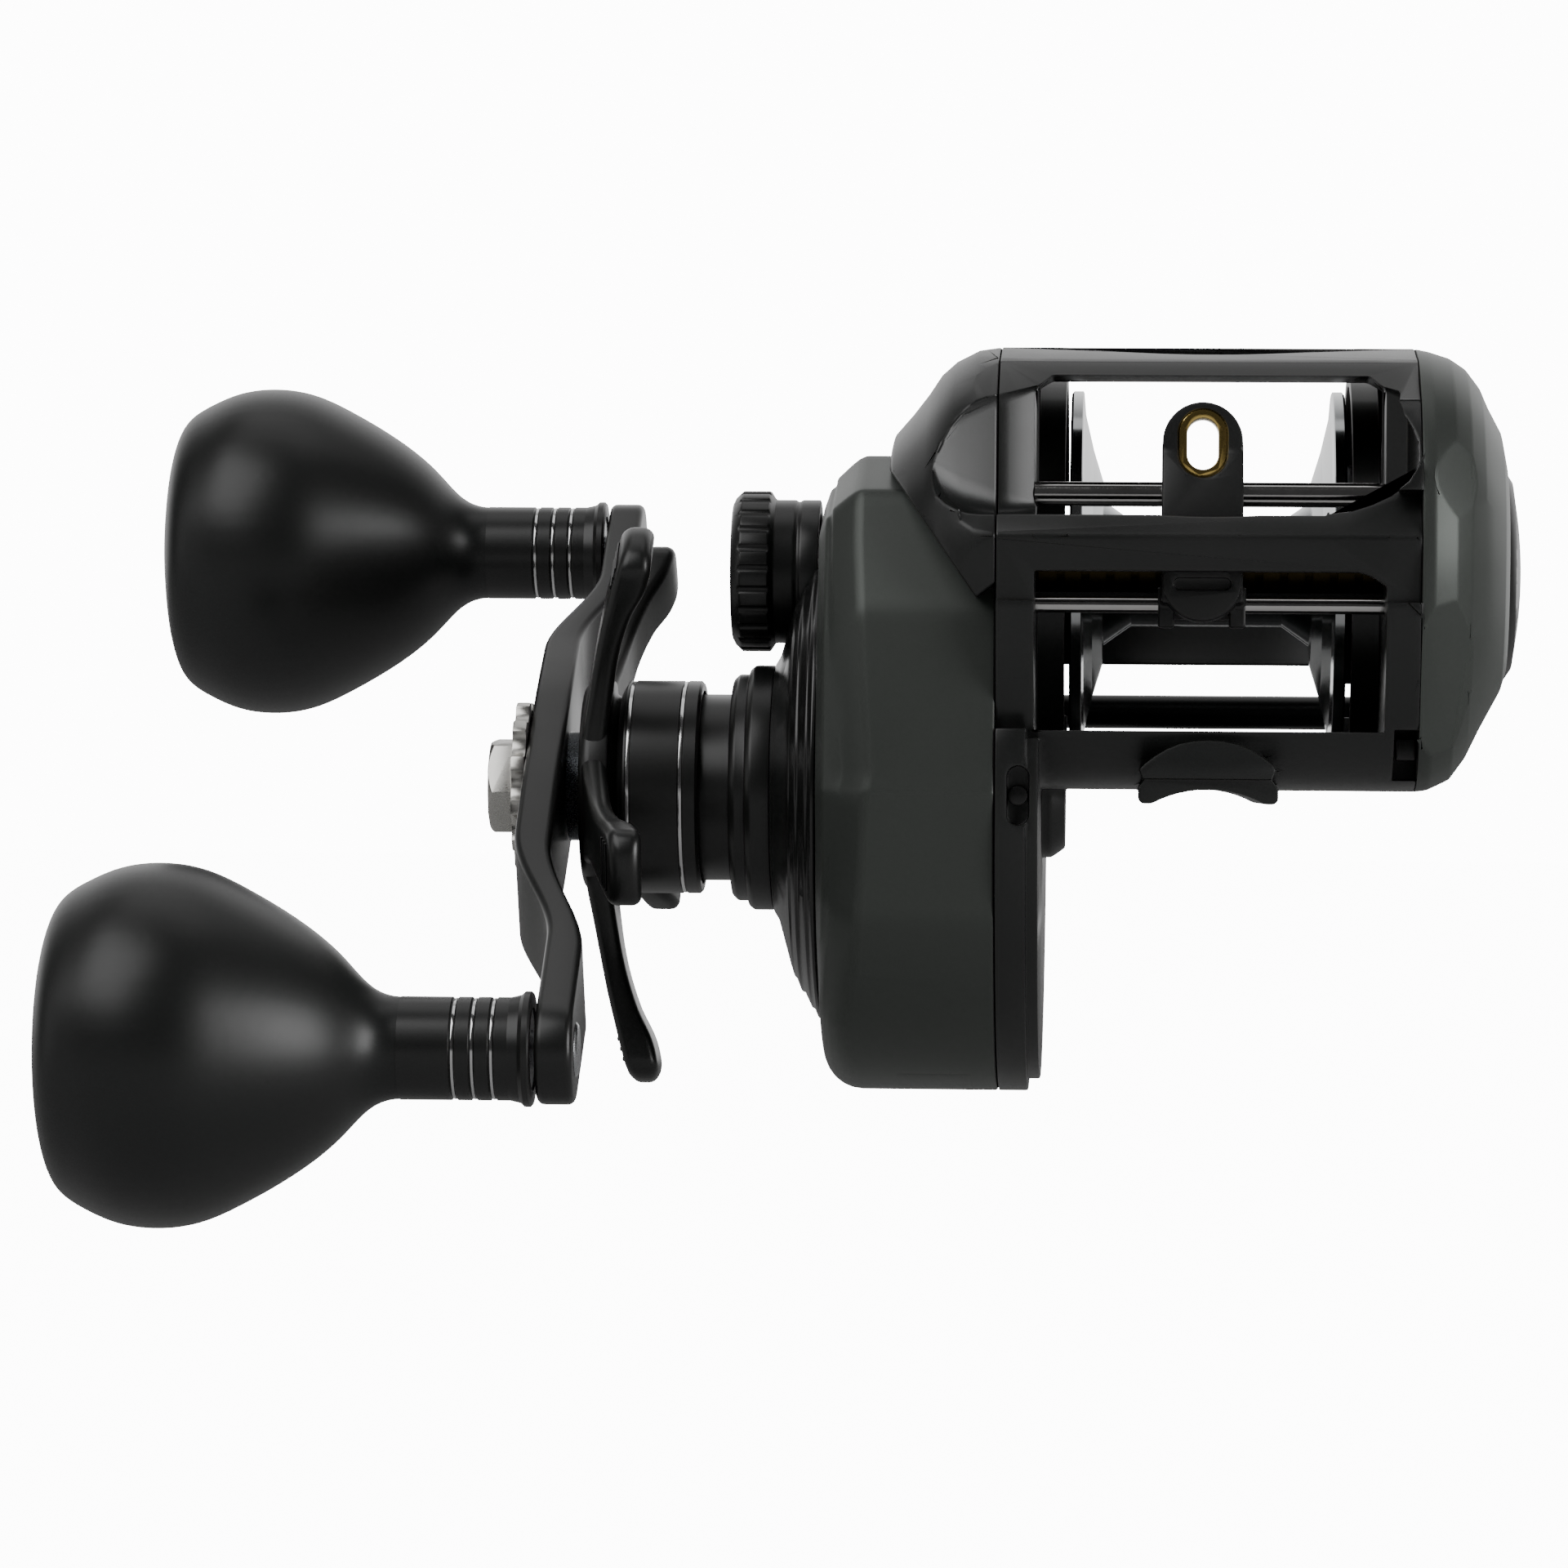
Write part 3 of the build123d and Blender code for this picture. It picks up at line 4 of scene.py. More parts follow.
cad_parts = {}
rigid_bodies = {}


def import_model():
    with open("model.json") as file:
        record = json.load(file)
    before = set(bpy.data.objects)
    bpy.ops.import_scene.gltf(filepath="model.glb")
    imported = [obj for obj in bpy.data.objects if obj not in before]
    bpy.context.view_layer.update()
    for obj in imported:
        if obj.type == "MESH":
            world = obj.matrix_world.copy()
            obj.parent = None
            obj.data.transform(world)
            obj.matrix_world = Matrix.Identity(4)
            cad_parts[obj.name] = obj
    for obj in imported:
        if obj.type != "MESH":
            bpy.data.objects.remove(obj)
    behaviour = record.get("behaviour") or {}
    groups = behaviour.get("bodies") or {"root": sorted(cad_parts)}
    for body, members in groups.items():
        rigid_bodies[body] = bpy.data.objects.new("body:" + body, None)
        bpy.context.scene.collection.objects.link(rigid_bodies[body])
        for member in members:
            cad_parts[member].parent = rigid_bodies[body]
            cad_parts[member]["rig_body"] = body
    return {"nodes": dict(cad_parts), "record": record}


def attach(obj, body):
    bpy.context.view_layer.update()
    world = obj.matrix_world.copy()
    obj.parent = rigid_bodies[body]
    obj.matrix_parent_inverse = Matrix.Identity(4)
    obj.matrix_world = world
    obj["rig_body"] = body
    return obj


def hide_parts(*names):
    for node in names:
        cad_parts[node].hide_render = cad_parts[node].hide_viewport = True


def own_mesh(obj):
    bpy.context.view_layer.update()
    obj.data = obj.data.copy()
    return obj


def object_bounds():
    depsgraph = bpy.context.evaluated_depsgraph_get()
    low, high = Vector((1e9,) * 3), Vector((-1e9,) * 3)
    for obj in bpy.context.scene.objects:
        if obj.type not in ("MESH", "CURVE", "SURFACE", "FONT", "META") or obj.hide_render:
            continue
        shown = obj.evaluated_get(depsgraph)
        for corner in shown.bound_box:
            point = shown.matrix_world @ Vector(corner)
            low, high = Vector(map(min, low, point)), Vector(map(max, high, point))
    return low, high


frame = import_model()
cad_box = [list(v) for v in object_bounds()]
NODES = frame["nodes"]
BODY = {n: o["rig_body"] for n, o in NODES.items()}
SLOT = {s["node"]: s.get("material_slot") for s in frame["record"]["subparts"]}
MM = 0.001

# ---------------------------------------------------------------- camera
scene = bpy.context.scene
AZ, ROLL, DIST = math.radians(3.2), math.radians(0.45), 0.700
target = Vector((-0.0463, 0.0, 0.00176))
back = Vector((math.sin(AZ), -math.cos(AZ), 0.0))
cam_data = bpy.data.cameras.new("camera")
cam = bpy.data.objects.new("camera", cam_data)
scene.collection.objects.link(cam)
cam.location = target + back * DIST
cam.rotation_mode = "QUATERNION"
q = (-back).to_track_quat("-Z", "Y")
cam.rotation_quaternion = q @ Matrix.Rotation(ROLL, 4, "Z").to_quaternion()
cam_data.sensor_width = 36.0
cam_data.lens = 145.7
cam_data.clip_start, cam_data.clip_end = 0.01, 20.0
cam_data.dof.use_dof = False
scene.camera = cam


# ---------------------------------------------------------------- materials
def new_mat(name):
    m = bpy.data.materials.new(name)
    m.use_nodes = True
    nt = m.node_tree
    bsdf = nt.nodes["Principled BSDF"]
    return m, nt, bsdf


def node(nt, kind, **kw):
    n = nt.nodes.new(kind)
    for k, v in kw.items():
        if k in n.inputs:
            n.inputs[k].default_value = v
        else:
            setattr(n, k, v)
    return n


def noise_tex(nt, coord, scale, detail=3.0, rough=0.55, stretch=None):
    """Noise in object millimetres."""
    mp = nt.nodes.new("ShaderNodeMapping")
    s = stretch or (1, 1, 1)
    mp.inputs["Scale"].default_value = (1000 * s[0], 1000 * s[1], 1000 * s[2])
    nt.links.new(coord.outputs["Object"], mp.inputs["Vector"])
    nz = nt.nodes.new("ShaderNodeTexNoise")
    nz.inputs["Scale"].default_value = scale
    nz.inputs["Detail"].default_value = detail
    nz.inputs["Roughness"].default_value = rough
    nt.links.new(mp.outputs["Vector"], nz.inputs["Vector"])
    return nz


def finish_mat(name, base, rough, metallic=0.0, var=0.25, rough_var=0.06, grain=6.0, bump=0.25, bump_mm=0.01,
               cloud=0.08, spec=0.5, coat=0.0, coat_rough=0.2, stretch=None, edge=0.0, edge_col=(0.5, 0.5, 0.5), ior=None,
               aniso=0.0, sheen=0.0):
    """Painted, moulded or machined finish: large soft colour clouds, fine grain in roughness and bump, lighter worn edges."""
    m, nt, b = new_mat(name)
    L = nt.links.new
    tc = nt.nodes.new("ShaderNodeTexCoord")
    big = noise_tex(nt, tc, cloud, 2.0, 0.5)
    fine = noise_tex(nt, tc, grain, 4.0, 0.6, stretch)
    # colour
    ramp = nt.nodes.new("ShaderNodeValToRGB")
    lo = tuple(c * (1 - var) for c in base) + (1,)
    hi = tuple(c * (1 + var) for c in base) + (1,)
    ramp.color_ramp.elements[0].color, ramp.color_ramp.elements[0].position = lo, 0.3
    ramp.color_ramp.elements[1].color, ramp.color_ramp.elements[1].position = hi, 0.7
    mixn = nt.nodes.new("ShaderNodeMix")
    mixn.data_type = "FLOAT"
    mixn.inputs[0].default_value = 0.45
    L(big.outputs["Fac"], mixn.inputs[2])
    L(fine.outputs["Fac"], mixn.inputs[3])
    L(mixn.outputs[0], ramp.inputs["Fac"])
    col = ramp.outputs["Color"]
    if edge > 0:
        bev = nt.nodes.new("ShaderNodeBevel")
        bev.samples = 4
        bev.inputs["Radius"].default_value = 0.00035
        geo = nt.nodes.new("ShaderNodeNewGeometry")
        dot = nt.nodes.new("ShaderNodeVectorMath"); dot.operation = "DOT_PRODUCT"
        L(bev.outputs["Normal"], dot.inputs[0])
        L(geo.outputs["Normal"], dot.inputs[1])
        mr = nt.nodes.new("ShaderNodeMapRange")
        mr.inputs["From Min"].default_value = 0.985
        mr.inputs["From Max"].default_value = 0.86
        mr.inputs["To Min"].default_value = 0.0
        mr.inputs["To Max"].default_value = edge
        L(dot.outputs["Value"], mr.inputs["Value"])
        mul = nt.nodes.new("ShaderNodeMath"); mul.operation = "MULTIPLY"
        L(mr.outputs["Result"], mul.inputs[0])
        L(fine.outputs["Fac"], mul.inputs[1])
        mc = nt.nodes.new("ShaderNodeMix"); mc.data_type = "RGBA"
        L(mul.outputs[0], mc.inputs[0])
        L(col, mc.inputs[6])
        mc.inputs[7].default_value = tuple(edge_col) + (1,)
        col = mc.outputs[2]
    L(col, b.inputs["Base Color"])
    # roughness
    mr2 = nt.nodes.new("ShaderNodeMapRange")
    mr2.inputs["From Min"].default_value, mr2.inputs["From Max"].default_value = 0.3, 0.7
    mr2.inputs["To Min"].default_value = max(rough - rough_var, 0.02)
    mr2.inputs["To Max"].default_value = min(rough + rough_var, 1.0)
    L(mixn.outputs[0], mr2.inputs["Value"])
    L(mr2.outputs["Result"], b.inputs["Roughness"])
    if bump > 0:
        bp = nt.nodes.new("ShaderNodeBump")
        bp.inputs["Strength"].default_value = bump
        bp.inputs["Distance"].default_value = bump_mm * MM
        L(fine.outputs["Fac"], bp.inputs["Height"])
        L(bp.outputs["Normal"], b.inputs["Normal"])
    b.inputs["Metallic"].default_value = metallic
    b.inputs["Specular IOR Level"].default_value = spec
    b.inputs["Coat Weight"].default_value = coat
    b.inputs["Coat Roughness"].default_value = coat_rough
    if ior:
        b.inputs["IOR"].default_value = ior
    if sheen:
        b.inputs["Sheen Weight"].default_value = sheen
        b.inputs["Sheen Roughness"].default_value = 0.5
    return m


M = {}
M["frame_black"] = finish_mat("satin_black_coat", (0.0085, 0.0092, 0.0088), 0.36, var=0.16, rough_var=0.05, grain=5.0, bump=0.20,
                              bump_mm=0.006, spec=0.55, edge=0.10, edge_col=(0.10, 0.105, 0.10))
M["cover_grey"] = finish_mat("green_grey_metallic", (0.062, 0.069, 0.063), 0.42, metallic=0.50, var=0.10, rough_var=0.04, grain=9.0,
                             bump=0.22, bump_mm=0.005, spec=0.5, cloud=0.04, edge=0.12, edge_col=(0.22, 0.24, 0.23))
M["trim_black"] = finish_mat("satin_black_anodised", (0.0080, 0.0083, 0.0080), 0.34, var=0.15, rough_var=0.04, grain=8.0, bump=0.15,
                             bump_mm=0.004, spec=0.55)
M["knob_black"] = finish_mat("soft_touch_black", (0.0072, 0.0078, 0.0076), 0.38, var=0.12, rough_var=0.03, grain=3.5, bump=0.10,
                             bump_mm=0.004, cloud=0.05, spec=0.5)
M["polished_steel"] = finish_mat("polished_nickel", (0.70, 0.70, 0.70), 0.14, metallic=1.0, var=0.08, rough_var=0.06, grain=2.0,
                                 bump=0.06, bump_mm=0.004)
M["steel"] = finish_mat("machined_steel", (0.50, 0.51, 0.52), 0.28, metallic=1.0, var=0.12, rough_var=0.08, grain=7.0, bump=0.12,
                        bump_mm=0.003)
M["rod_chrome"] = finish_mat("chromed_rod", (0.62, 0.61, 0.60), 0.12, metallic=1.0, var=0.10, rough_var=0.05, grain=2.2,
                             bump=0.08, bump_mm=0.003, stretch=(0.25, 1, 1))
# brass colour darker than bright brass: its own colour with painted shade added for the gears inside the frame
M["brass"] = finish_mat("machined_brass", (0.30, 0.21, 0.075), 0.30, metallic=1.0, var=0.12, rough_var=0.08, grain=5.0, bump=0.12,
                        bump_mm=0.004)
M["gold_ring"] = finish_mat("gold_ring", (0.86, 0.62, 0.20), 0.12, metallic=1.0, var=0.06, rough_var=0.04, grain=4.0, bump=0.05,
                            bump_mm=0.002)
M["spool_metal"] = finish_mat("spool_aluminium", (0.46, 0.47, 0.475), 0.16, metallic=1.0, var=0.06, rough_var=0.05, grain=3.0,
                              bump=0.05, bump_mm=0.003, stretch=(1, 0.2, 0.2))
M["spring_steel"] = finish_mat("spring_steel", (0.42, 0.42, 0.44), 0.26, metallic=1.0, grain=8.0)
M["white_nylon"] = finish_mat("white_nylon", (0.72, 0.70, 0.64), 0.45, var=0.06, grain=5.0, bump=0.15, bump_mm=0.006)
M["black_plastic"] = finish_mat("moulded_black", (0.0078, 0.0082, 0.0080), 0.40, var=0.15, grain=4.5, bump=0.22, bump_mm=0.006)
# brass darkened far below its own colour: painted shade for the worm, which sits in shadow deep inside the frame
M["brass_dark"] = finish_mat("oiled_brass", (0.030, 0.022, 0.008), 0.42, metallic=1.0, var=0.2, rough_var=0.08, grain=5.0, bump=0.12,
                             bump_mm=0.004)
M["steel_dark"] = finish_mat("blackened_steel", (0.05, 0.05, 0.05), 0.32, metallic=1.0, var=0.15, rough_var=0.06, grain=6.0, bump=0.10,
                             bump_mm=0.003)
M["nut_steel"] = finish_mat("brushed_nut_steel", (0.62, 0.61, 0.58), 0.30, metallic=1.0, var=0.12, rough_var=0.08, grain=6.0, bump=0.12,
                            bump_mm=0.003, stretch=(0.3, 1, 1))
M["gloss_black"] = finish_mat("turned_black_anodised", (0.0085, 0.0088, 0.0085), 0.22, var=0.12, rough_var=0.04, grain=8.0, bump=0.08,
                              bump_mm=0.003, spec=0.65)
M["carbon_fibre"] = finish_mat("carbon_washer", (0.02, 0.02, 0.02), 0.5, var=0.4, grain=6.0, bump=0.3, bump_mm=0.01)


# ---------------------------------------------------------------- mesh helpers
def link_mesh(name, me, body, mat, slot_name=None, angle=30.0):
    me.materials.clear()
    me.materials.append(M[mat] if isinstance(mat, str) else mat)
    ob = bpy.data.objects.new(name, me)
    scene.collection.objects.link(ob)
    shade(me, angle)
    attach(ob, body)
    return ob


def shade(me, angle=30.0):
    me.polygons.foreach_set("use_smooth", [True] * len(me.polygons))
    me.set_sharp_from_angle(angle=math.radians(angle))
    me.update()


def apply_mods(ob):
    dg = bpy.context.evaluated_depsgraph_get()
    dg.update()
    me = bpy.data.meshes.new_from_object(ob.evaluated_get(dg), preserve_all_data_layers=True, depsgraph=dg)
    old = ob.data
    ob.modifiers.clear()
    ob.data = me
    bpy.data.meshes.remove(old)
    return ob


def bevel(ob, width, seg=2, angle=28.0, profile=0.6, apply=True, clamp=False):
    b = ob.modifiers.new("edge", "BEVEL")
    b.width, b.segments = width * MM, seg
    b.limit_method, b.angle_limit = "ANGLE", math.radians(angle)
    b.profile = profile
    b.use_clamp_overlap = clamp
    b.harden_normals = False
    b.miter_outer = "MITER_ARC"
    if apply:
        apply_mods(ob)
        shade(ob.data, 32)
    return ob


def refined(n, width=0.22, seg=2, mat=None, angle=28.0, name=None, dissolve=0.4):
    """A finished copy of a CAD node: welded, cleaned and with its edges broken."""
    src = NODES[n]
    me = bpy.data.meshes.new(name or n + "_finished")
    bm = bmesh.new()
    bm.from_mesh(src.data)
    bmesh.ops.remove_doubles(bm, verts=bm.verts, dist=2e-6)
    bmesh.ops.dissolve_limit(bm, angle_limit=math.radians(dissolve), verts=bm.verts, edges=bm.edges, delimit={"NORMAL"})
    bmesh.ops.recalc_face_normals(bm, faces=bm.faces)
    bm.to_mesh(me)
    bm.free()
    for a in ("custom_normal",):
        if a in me.attributes:
            me.attributes.remove(me.attributes[a])
    slot_name = SLOT.get(n)
    ob = link_mesh(name or n + "_finished", me, BODY[n], mat or slot_name, slot_name)
    if width > 0:
        ob.data.materials[0]
        bevel(ob, width, seg, angle)
    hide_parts(n)
    return ob


def rounded(pts, r, seg=3, closed=True):
    """Breaks the corners of an outline by r (or a per-corner radius as third value)."""
    out, n = [], len(pts)
    for i, p in enumerate(pts):
        rr = p[2] if len(p) > 2 else r
        P = Vector(p[:2])
        if not closed and i in (0, n - 1) or rr <= 0:
            out.append(tuple(P)); continue
        A, B = Vector(pts[i - 1][:2]), Vector(pts[(i + 1) % n][:2])
        la, lb = (A - P).length, (B - P).length
        if la < 1e-6 or lb < 1e-6:
            out.append(tuple(P)); continue
        c = min(rr, la * 0.45, lb * 0.45)
        a, b = P + (A - P) / la * c, P + (B - P) / lb * c
        for k in range(seg + 1):
            t = k / seg
            q_ = a * (1 - t) ** 2 + P * 2 * t * (1 - t) + b * t ** 2
            out.append(tuple(q_))
    return out


def lathe(name, prof, cy, cz, body, mat, slot_name=None, seg=128, r=0.12, angle=32.0, closed=True, rseg=3):
    """Turned piece about an axis along X. prof is (x, radius[, corner]) in mm."""
    prof = rounded(prof, r, rseg, closed) if r else [p[:2] for p in prof]
    bm = bmesh.new()
    rings = []
    for x, rad in prof:
        if rad < 1e-4:
            rings.append([bm.verts.new((x * MM, cy * MM, cz * MM))])
        else:
            rings.append([bm.verts.new((x * MM, (cy + rad * math.sin(2 * math.pi * k / seg)) * MM,
                                        (cz + rad * math.cos(2 * math.pi * k / seg)) * MM)) for k in range(seg)])
    n = len(rings)
    for i in range(n if closed else n - 1):
        a, b = rings[i], rings[(i + 1) % n]
        if len(a) == 1 and len(b) == 1:
            continue
        for k in range(seg):
            k2 = (k + 1) % seg
            if len(a) == 1:
                bm.faces.new((a[0], b[k2], b[k]))
            elif len(b) == 1:
                bm.faces.new((a[k], a[k2], b[0]))
            else:
                bm.faces.new((a[k], a[k2], b[k2], b[k]))
    bmesh.ops.recalc_face_normals(bm, faces=bm.faces)
    me = bpy.data.meshes.new(name)
    bm.to_mesh(me)
    bm.free()
    return link_mesh(name, me, body, mat, slot_name, angle)


# ---------------------------------------------------------------- loft and cutting helpers
def ring_loft(name, rings, cap0=True, cap1=True):
    """Closed rings of equal length (in mm) skinned into a mesh."""
    bm = bmesh.new()
    vs = [[bm.verts.new([c * MM for c in p]) for p in ring] for ring in rings]
    n = len(rings[0])
    for a_, b_ in zip(vs, vs[1:]):
        for k in range(n):
            q4 = (a_[k], a_[(k + 1) % n], b_[(k + 1) % n], b_[k])
            if len({v.index if v.index >= 0 else id(v) for v in q4}) == 4:
                bm.faces.new(q4)
    if cap0:
        bm.faces.new(vs[0])
    if cap1:
        bm.faces.new(list(reversed(vs[-1])))
    bmesh.ops.remove_doubles(bm, verts=bm.verts, dist=1e-6)
    bmesh.ops.recalc_face_normals(bm, faces=bm.faces)
    me = bpy.data.meshes.new(name)
    bm.to_mesh(me)
    bm.free()
    return me


def prism(name, pts, axis, a0, a1):
    """Outline in mm, extruded along an axis from a0 to a1. pts are (Y, Z) for X, (X, Z) for Y and (X, Y) for Z."""
    def put(u, v, w):
        return {"X": (w, u, v), "Y": (u, w, v), "Z": (u, v, w)}[axis]
    return ring_loft(name, [[put(u, v, a0) for u, v in pts], [put(u, v, a1) for u, v in pts]])


def temp(me):
    ob = bpy.data.objects.new(me.name + "_tool", me)
    scene.collection.objects.link(ob)
    return ob


def boolean(ob, meshes, op="DIFFERENCE"):
    tools = [temp(m) for m in meshes]
    for t in tools:
        md = ob.modifiers.new("cut", "BOOLEAN")
        md.operation, md.solver, md.object = op, "MANIFOLD", t
        apply_mods(ob)
    for t in tools:
        me = t.data
        bpy.data.objects.remove(t)
        bpy.data.meshes.remove(me)
    return ob


def clean(ob, dissolve=0.5):
    bm = bmesh.new()
    bm.from_mesh(ob.data)
    bmesh.ops.remove_doubles(bm, verts=bm.verts, dist=4e-6)
    bmesh.ops.dissolve_degenerate(bm, edges=bm.edges, dist=3e-6)
    bmesh.ops.dissolve_limit(bm, angle_limit=math.radians(dissolve), verts=bm.verts, edges=bm.edges, delimit={"NORMAL"})
    bmesh.ops.recalc_face_normals(bm, faces=bm.faces)
    bm.to_mesh(ob.data)
    bm.free()
    return ob


def lerp_table(table, x):
    """Piecewise-linear lookup in a list of (x, y)."""
    if x <= table[0][0]:
        return table[0][1]
    for (x0, y0), (x1, y1) in zip(table, table[1:]):
        if x <= x1:
            t = (x - x0) / (x1 - x0)
            return y0 + (y1 - y0) * t
    return table[-1][1]


def smooth_table(table, x, k=0.5):
    """Piecewise cubic lookup with flat-safe (Catmull-Rom) tangents."""
    n = len(table)
    if x <= table[0][0]:
        return table[0][1]
    if x >= table[-1][0]:
        return table[-1][1]
    for i in range(n - 1):
        x0, y0 = table[i]
        x1, y1 = table[i + 1]
        if x <= x1:
            m0 = (y1 - table[i - 1][1]) / (x1 - table[i - 1][0]) if i > 0 else (y1 - y0) / (x1 - x0)
            m1 = (table[i + 2][1] - y0) / (table[i + 2][0] - x0) if i + 2 < n else (y1 - y0) / (x1 - x0)
            h = x1 - x0
            t = (x - x0) / h
            return ((2 * t ** 3 - 3 * t ** 2 + 1) * y0 + (t ** 3 - 2 * t ** 2 + t) * h * m0
                    + (-2 * t ** 3 + 3 * t ** 2) * y1 + (t ** 3 - t ** 2) * h * m1)


def polar_resample(pts, c, n, start=0.0):
    """Radius of a closed polygon round c at n equal angles, as points."""
    out = []
    for k in range(n):
        a_ = start + 2 * math.pi * k / n
        d = Vector((math.cos(a_), math.sin(a_)))
        best = 0.0
        for i in range(len(pts)):
            p0, p1 = Vector(pts[i - 1]) - Vector(c), Vector(pts[i]) - Vector(c)
            e = p1 - p0
            den = d.x * e.y - d.y * e.x
            if abs(den) < 1e-12:
                continue
            t = (p0.x * e.y - p0.y * e.x) / den
            u = (p0.x * d.y - p0.y * d.x) / den
            if t > 0 and -1e-9 <= u <= 1 + 1e-9:
                best = max(best, t)
        out.append((c[0] + d.x * best, c[1] + d.y * best))
    return out


def catmull(pts, per=6, closed=True):
    out, n = [], len(pts)
    for i in range(n if closed else n - 1):
        p0, p1, p2, p3 = pts[(i - 1) % n], pts[i], pts[(i + 1) % n], pts[(i + 2) % n]
        if not closed:
            p0 = pts[max(i - 1, 0)]
            p3 = pts[min(i + 2, n - 1)]
        for k in range(per):
            t = k / per
            out.append(tuple(0.5 * (2 * b_ + (c_ - a_) * t + (2 * a_ - 5 * b_ + 4 * c_ - d_) * t * t
                                    + (3 * b_ - a_ - 3 * c_ + d_) * t ** 3)
                             for a_, b_, c_, d_ in zip(p0, p1, p2, p3)))
    if not closed:
        out.append(tuple(pts[-1]))
    return out


def plate(name, half_r, half_l, t0, t1, xo, xi, r, put, body, mat, n=90, s=5, slot_name=None, angle=35):
    """A plate with rounded edges: widths half_r(t) and half_l(t) either side of its axis, outer face xo(t), inner face xi(t)."""
    ts = [t0 + (t1 - t0) * (0.5 - 0.5 * math.cos(math.pi * i / n)) for i in range(n + 1)]
    ts = [0.5 * t_ + 0.5 * (t0 + (t1 - t0) * i / n) for i, t_ in enumerate(ts)]
    R = [(half_r(t_), t_) for t_ in ts]
    L_ = [(-half_l(t_), t_) for t_ in ts]
    R[0] = L_[0] = (0.0, t0)
    R[-1] = L_[-1] = (0.0, t1)

    def normals(ch, sign):
        out = []
        for i in range(len(ch)):
            a_, b_ = Vector(ch[max(i - 1, 0)]), Vector(ch[min(i + 1, len(ch) - 1)])
            d = (b_ - a_).normalized()
            out.append(Vector((d.y, -d.x)) * sign)
        out[0], out[-1] = Vector((0, -1)), Vector((0, 1))
        return out
    NR, NL = normals(R, 1), normals(L_, -1)
    bm = bmesh.new()

    def ring(inset, depth, side):
        right, left = [], []
        for i, t_ in enumerate(ts):
            for ch, nn, out in ((R, NR, right), (L_, NL, left)):
                w, tt = Vector(ch[i]) - nn[i] * inset
                th = xi(tt) - xo(tt)
                dd = min(depth, th * 0.5)
                x = xo(tt) + dd if side == 0 else xi(tt) - dd
                out.append((w, tt, x))
        return right, left

    def verts(points):
        return [bm.verts.new([c * MM for c in put(*p)]) for p in points]
    rings = []
    for side in (0, 1):
        for k in range(s + 1):
            ph = math.pi / 2 * k / s
            rings.append((side, ring(r * (1 - math.sin(ph)), r * (1 - math.cos(ph)), side)))
    seq = [rg for sd, rg in rings if sd == 0] + list(reversed([rg for sd, rg in rings if sd == 1]))
    vv = [(verts(a_), verts(b_)) for a_, b_ in seq]
    for (r0, l0), (r1, l1) in zip(vv, vv[1:]):
        for i in range(n):
            bm.faces.new((r0[i], r0[i + 1], r1[i + 1], r1[i]))
            bm.faces.new((l0[i + 1], l0[i], l1[i], l1[i + 1]))
    for rr, ll in (vv[0], vv[-1]):
        for i in range(n):
            bm.faces.new((rr[i], rr[i + 1], ll[i + 1], ll[i]))
    bmesh.ops.remove_doubles(bm, verts=bm.verts, dist=2e-6)
    bmesh.ops.dissolve_degenerate(bm, edges=bm.edges, dist=1e-6)
    bmesh.ops.recalc_face_normals(bm, faces=bm.faces)
    me = bpy.data.meshes.new(name)
    bm.to_mesh(me)
    bm.free()
    return link_mesh(name, me, body, mat, slot_name, angle)


# ---------------------------------------------------------------- places, in mm, as in the frame
DY, DZ = -4.6551, 1.35                      # drive axis
SY, SZ = 0.0, 25.2                          # spool axis
CY, CZ, CR = -4.6551, 2.75, 34.25           # gear case
HT = math.radians(122.4)
KAY, KAZ = DY - 50.6 * math.sin(HT), DZ + 50.6 * math.cos(HT)
KBY, KBZ = DY + 50.6 * math.sin(HT), DZ - 50.6 * math.cos(HT)
OUTLINE = [(-28.0, 1.9), (-34.0, 5.0), (-39.3, 13.0), (-41.7, 22.5), (-41.8, 29.5), (-40.0, 36.0), (-34.5, 43.0),
           (-25.5, 47.5), (-14.5, 49.0), (-3.0, 48.8), (8.5, 46.3), (18.8, 40.3), (25.9, 31.5), (29.3, 21.5),
           (28.6, 11.5), (24.5, 4.6), (19.0, 1.9), (12.0, 1.5), (0.0, 1.45), (-13.0, 1.45), (-22.0, 1.45)]
CASE_TOP = [(30.2, 18.0), (26.6, 29.5), (12.0, 37.0), (-20.0, 37.0), (-32.0, 32.7), (-37.4, 20.0), (-38.9, 2.75)]


# ---------------------------------------------------------------- handle arm
def step_s(a_, b_, t):
    t = min(max((t - a_) / (b_ - a_), 0.0), 1.0)
    return t * t * (3 - 2 * t)


def arm_half(t):
    a_ = abs(t)
    base = smooth_table([(0, 7.7), (8, 7.62), (14, 7.2), (22, 6.45), (30, 5.95), (38, 5.75), (50.6, 5.7)], a_)
    if a_ > 50.6:
        return math.sqrt(max(5.7 ** 2 - (a_ - 50.6) ** 2, 0.0))
    return base


def arm_put(w, t, x):
    return (x, DY - t * math.sin(HT) + w * math.cos(HT), DZ + t * math.cos(HT) + w * math.sin(HT))


arm = plate("handle_arm_finished", arm_half, arm_half, -56.3, 56.3,
            lambda t: -73.7 + 4.9 * step_s(19.0, 37.5, abs(t)), lambda t: -69.7 + 4.8 * step_s(20.5, 40.0, abs(t)),
            0.75, arm_put, "handle", "trim_black", n=150, slot_name="trim_black")
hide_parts("handle_arm")


# ---------------------------------------------------------------- star drag wheel
def star_put(angle):
    a_ = math.radians(angle)
    return lambda w, t, x: (x, DY - t * math.sin(a_) + w * math.cos(a_), DZ + t * math.cos(a_) + w * math.sin(a_))


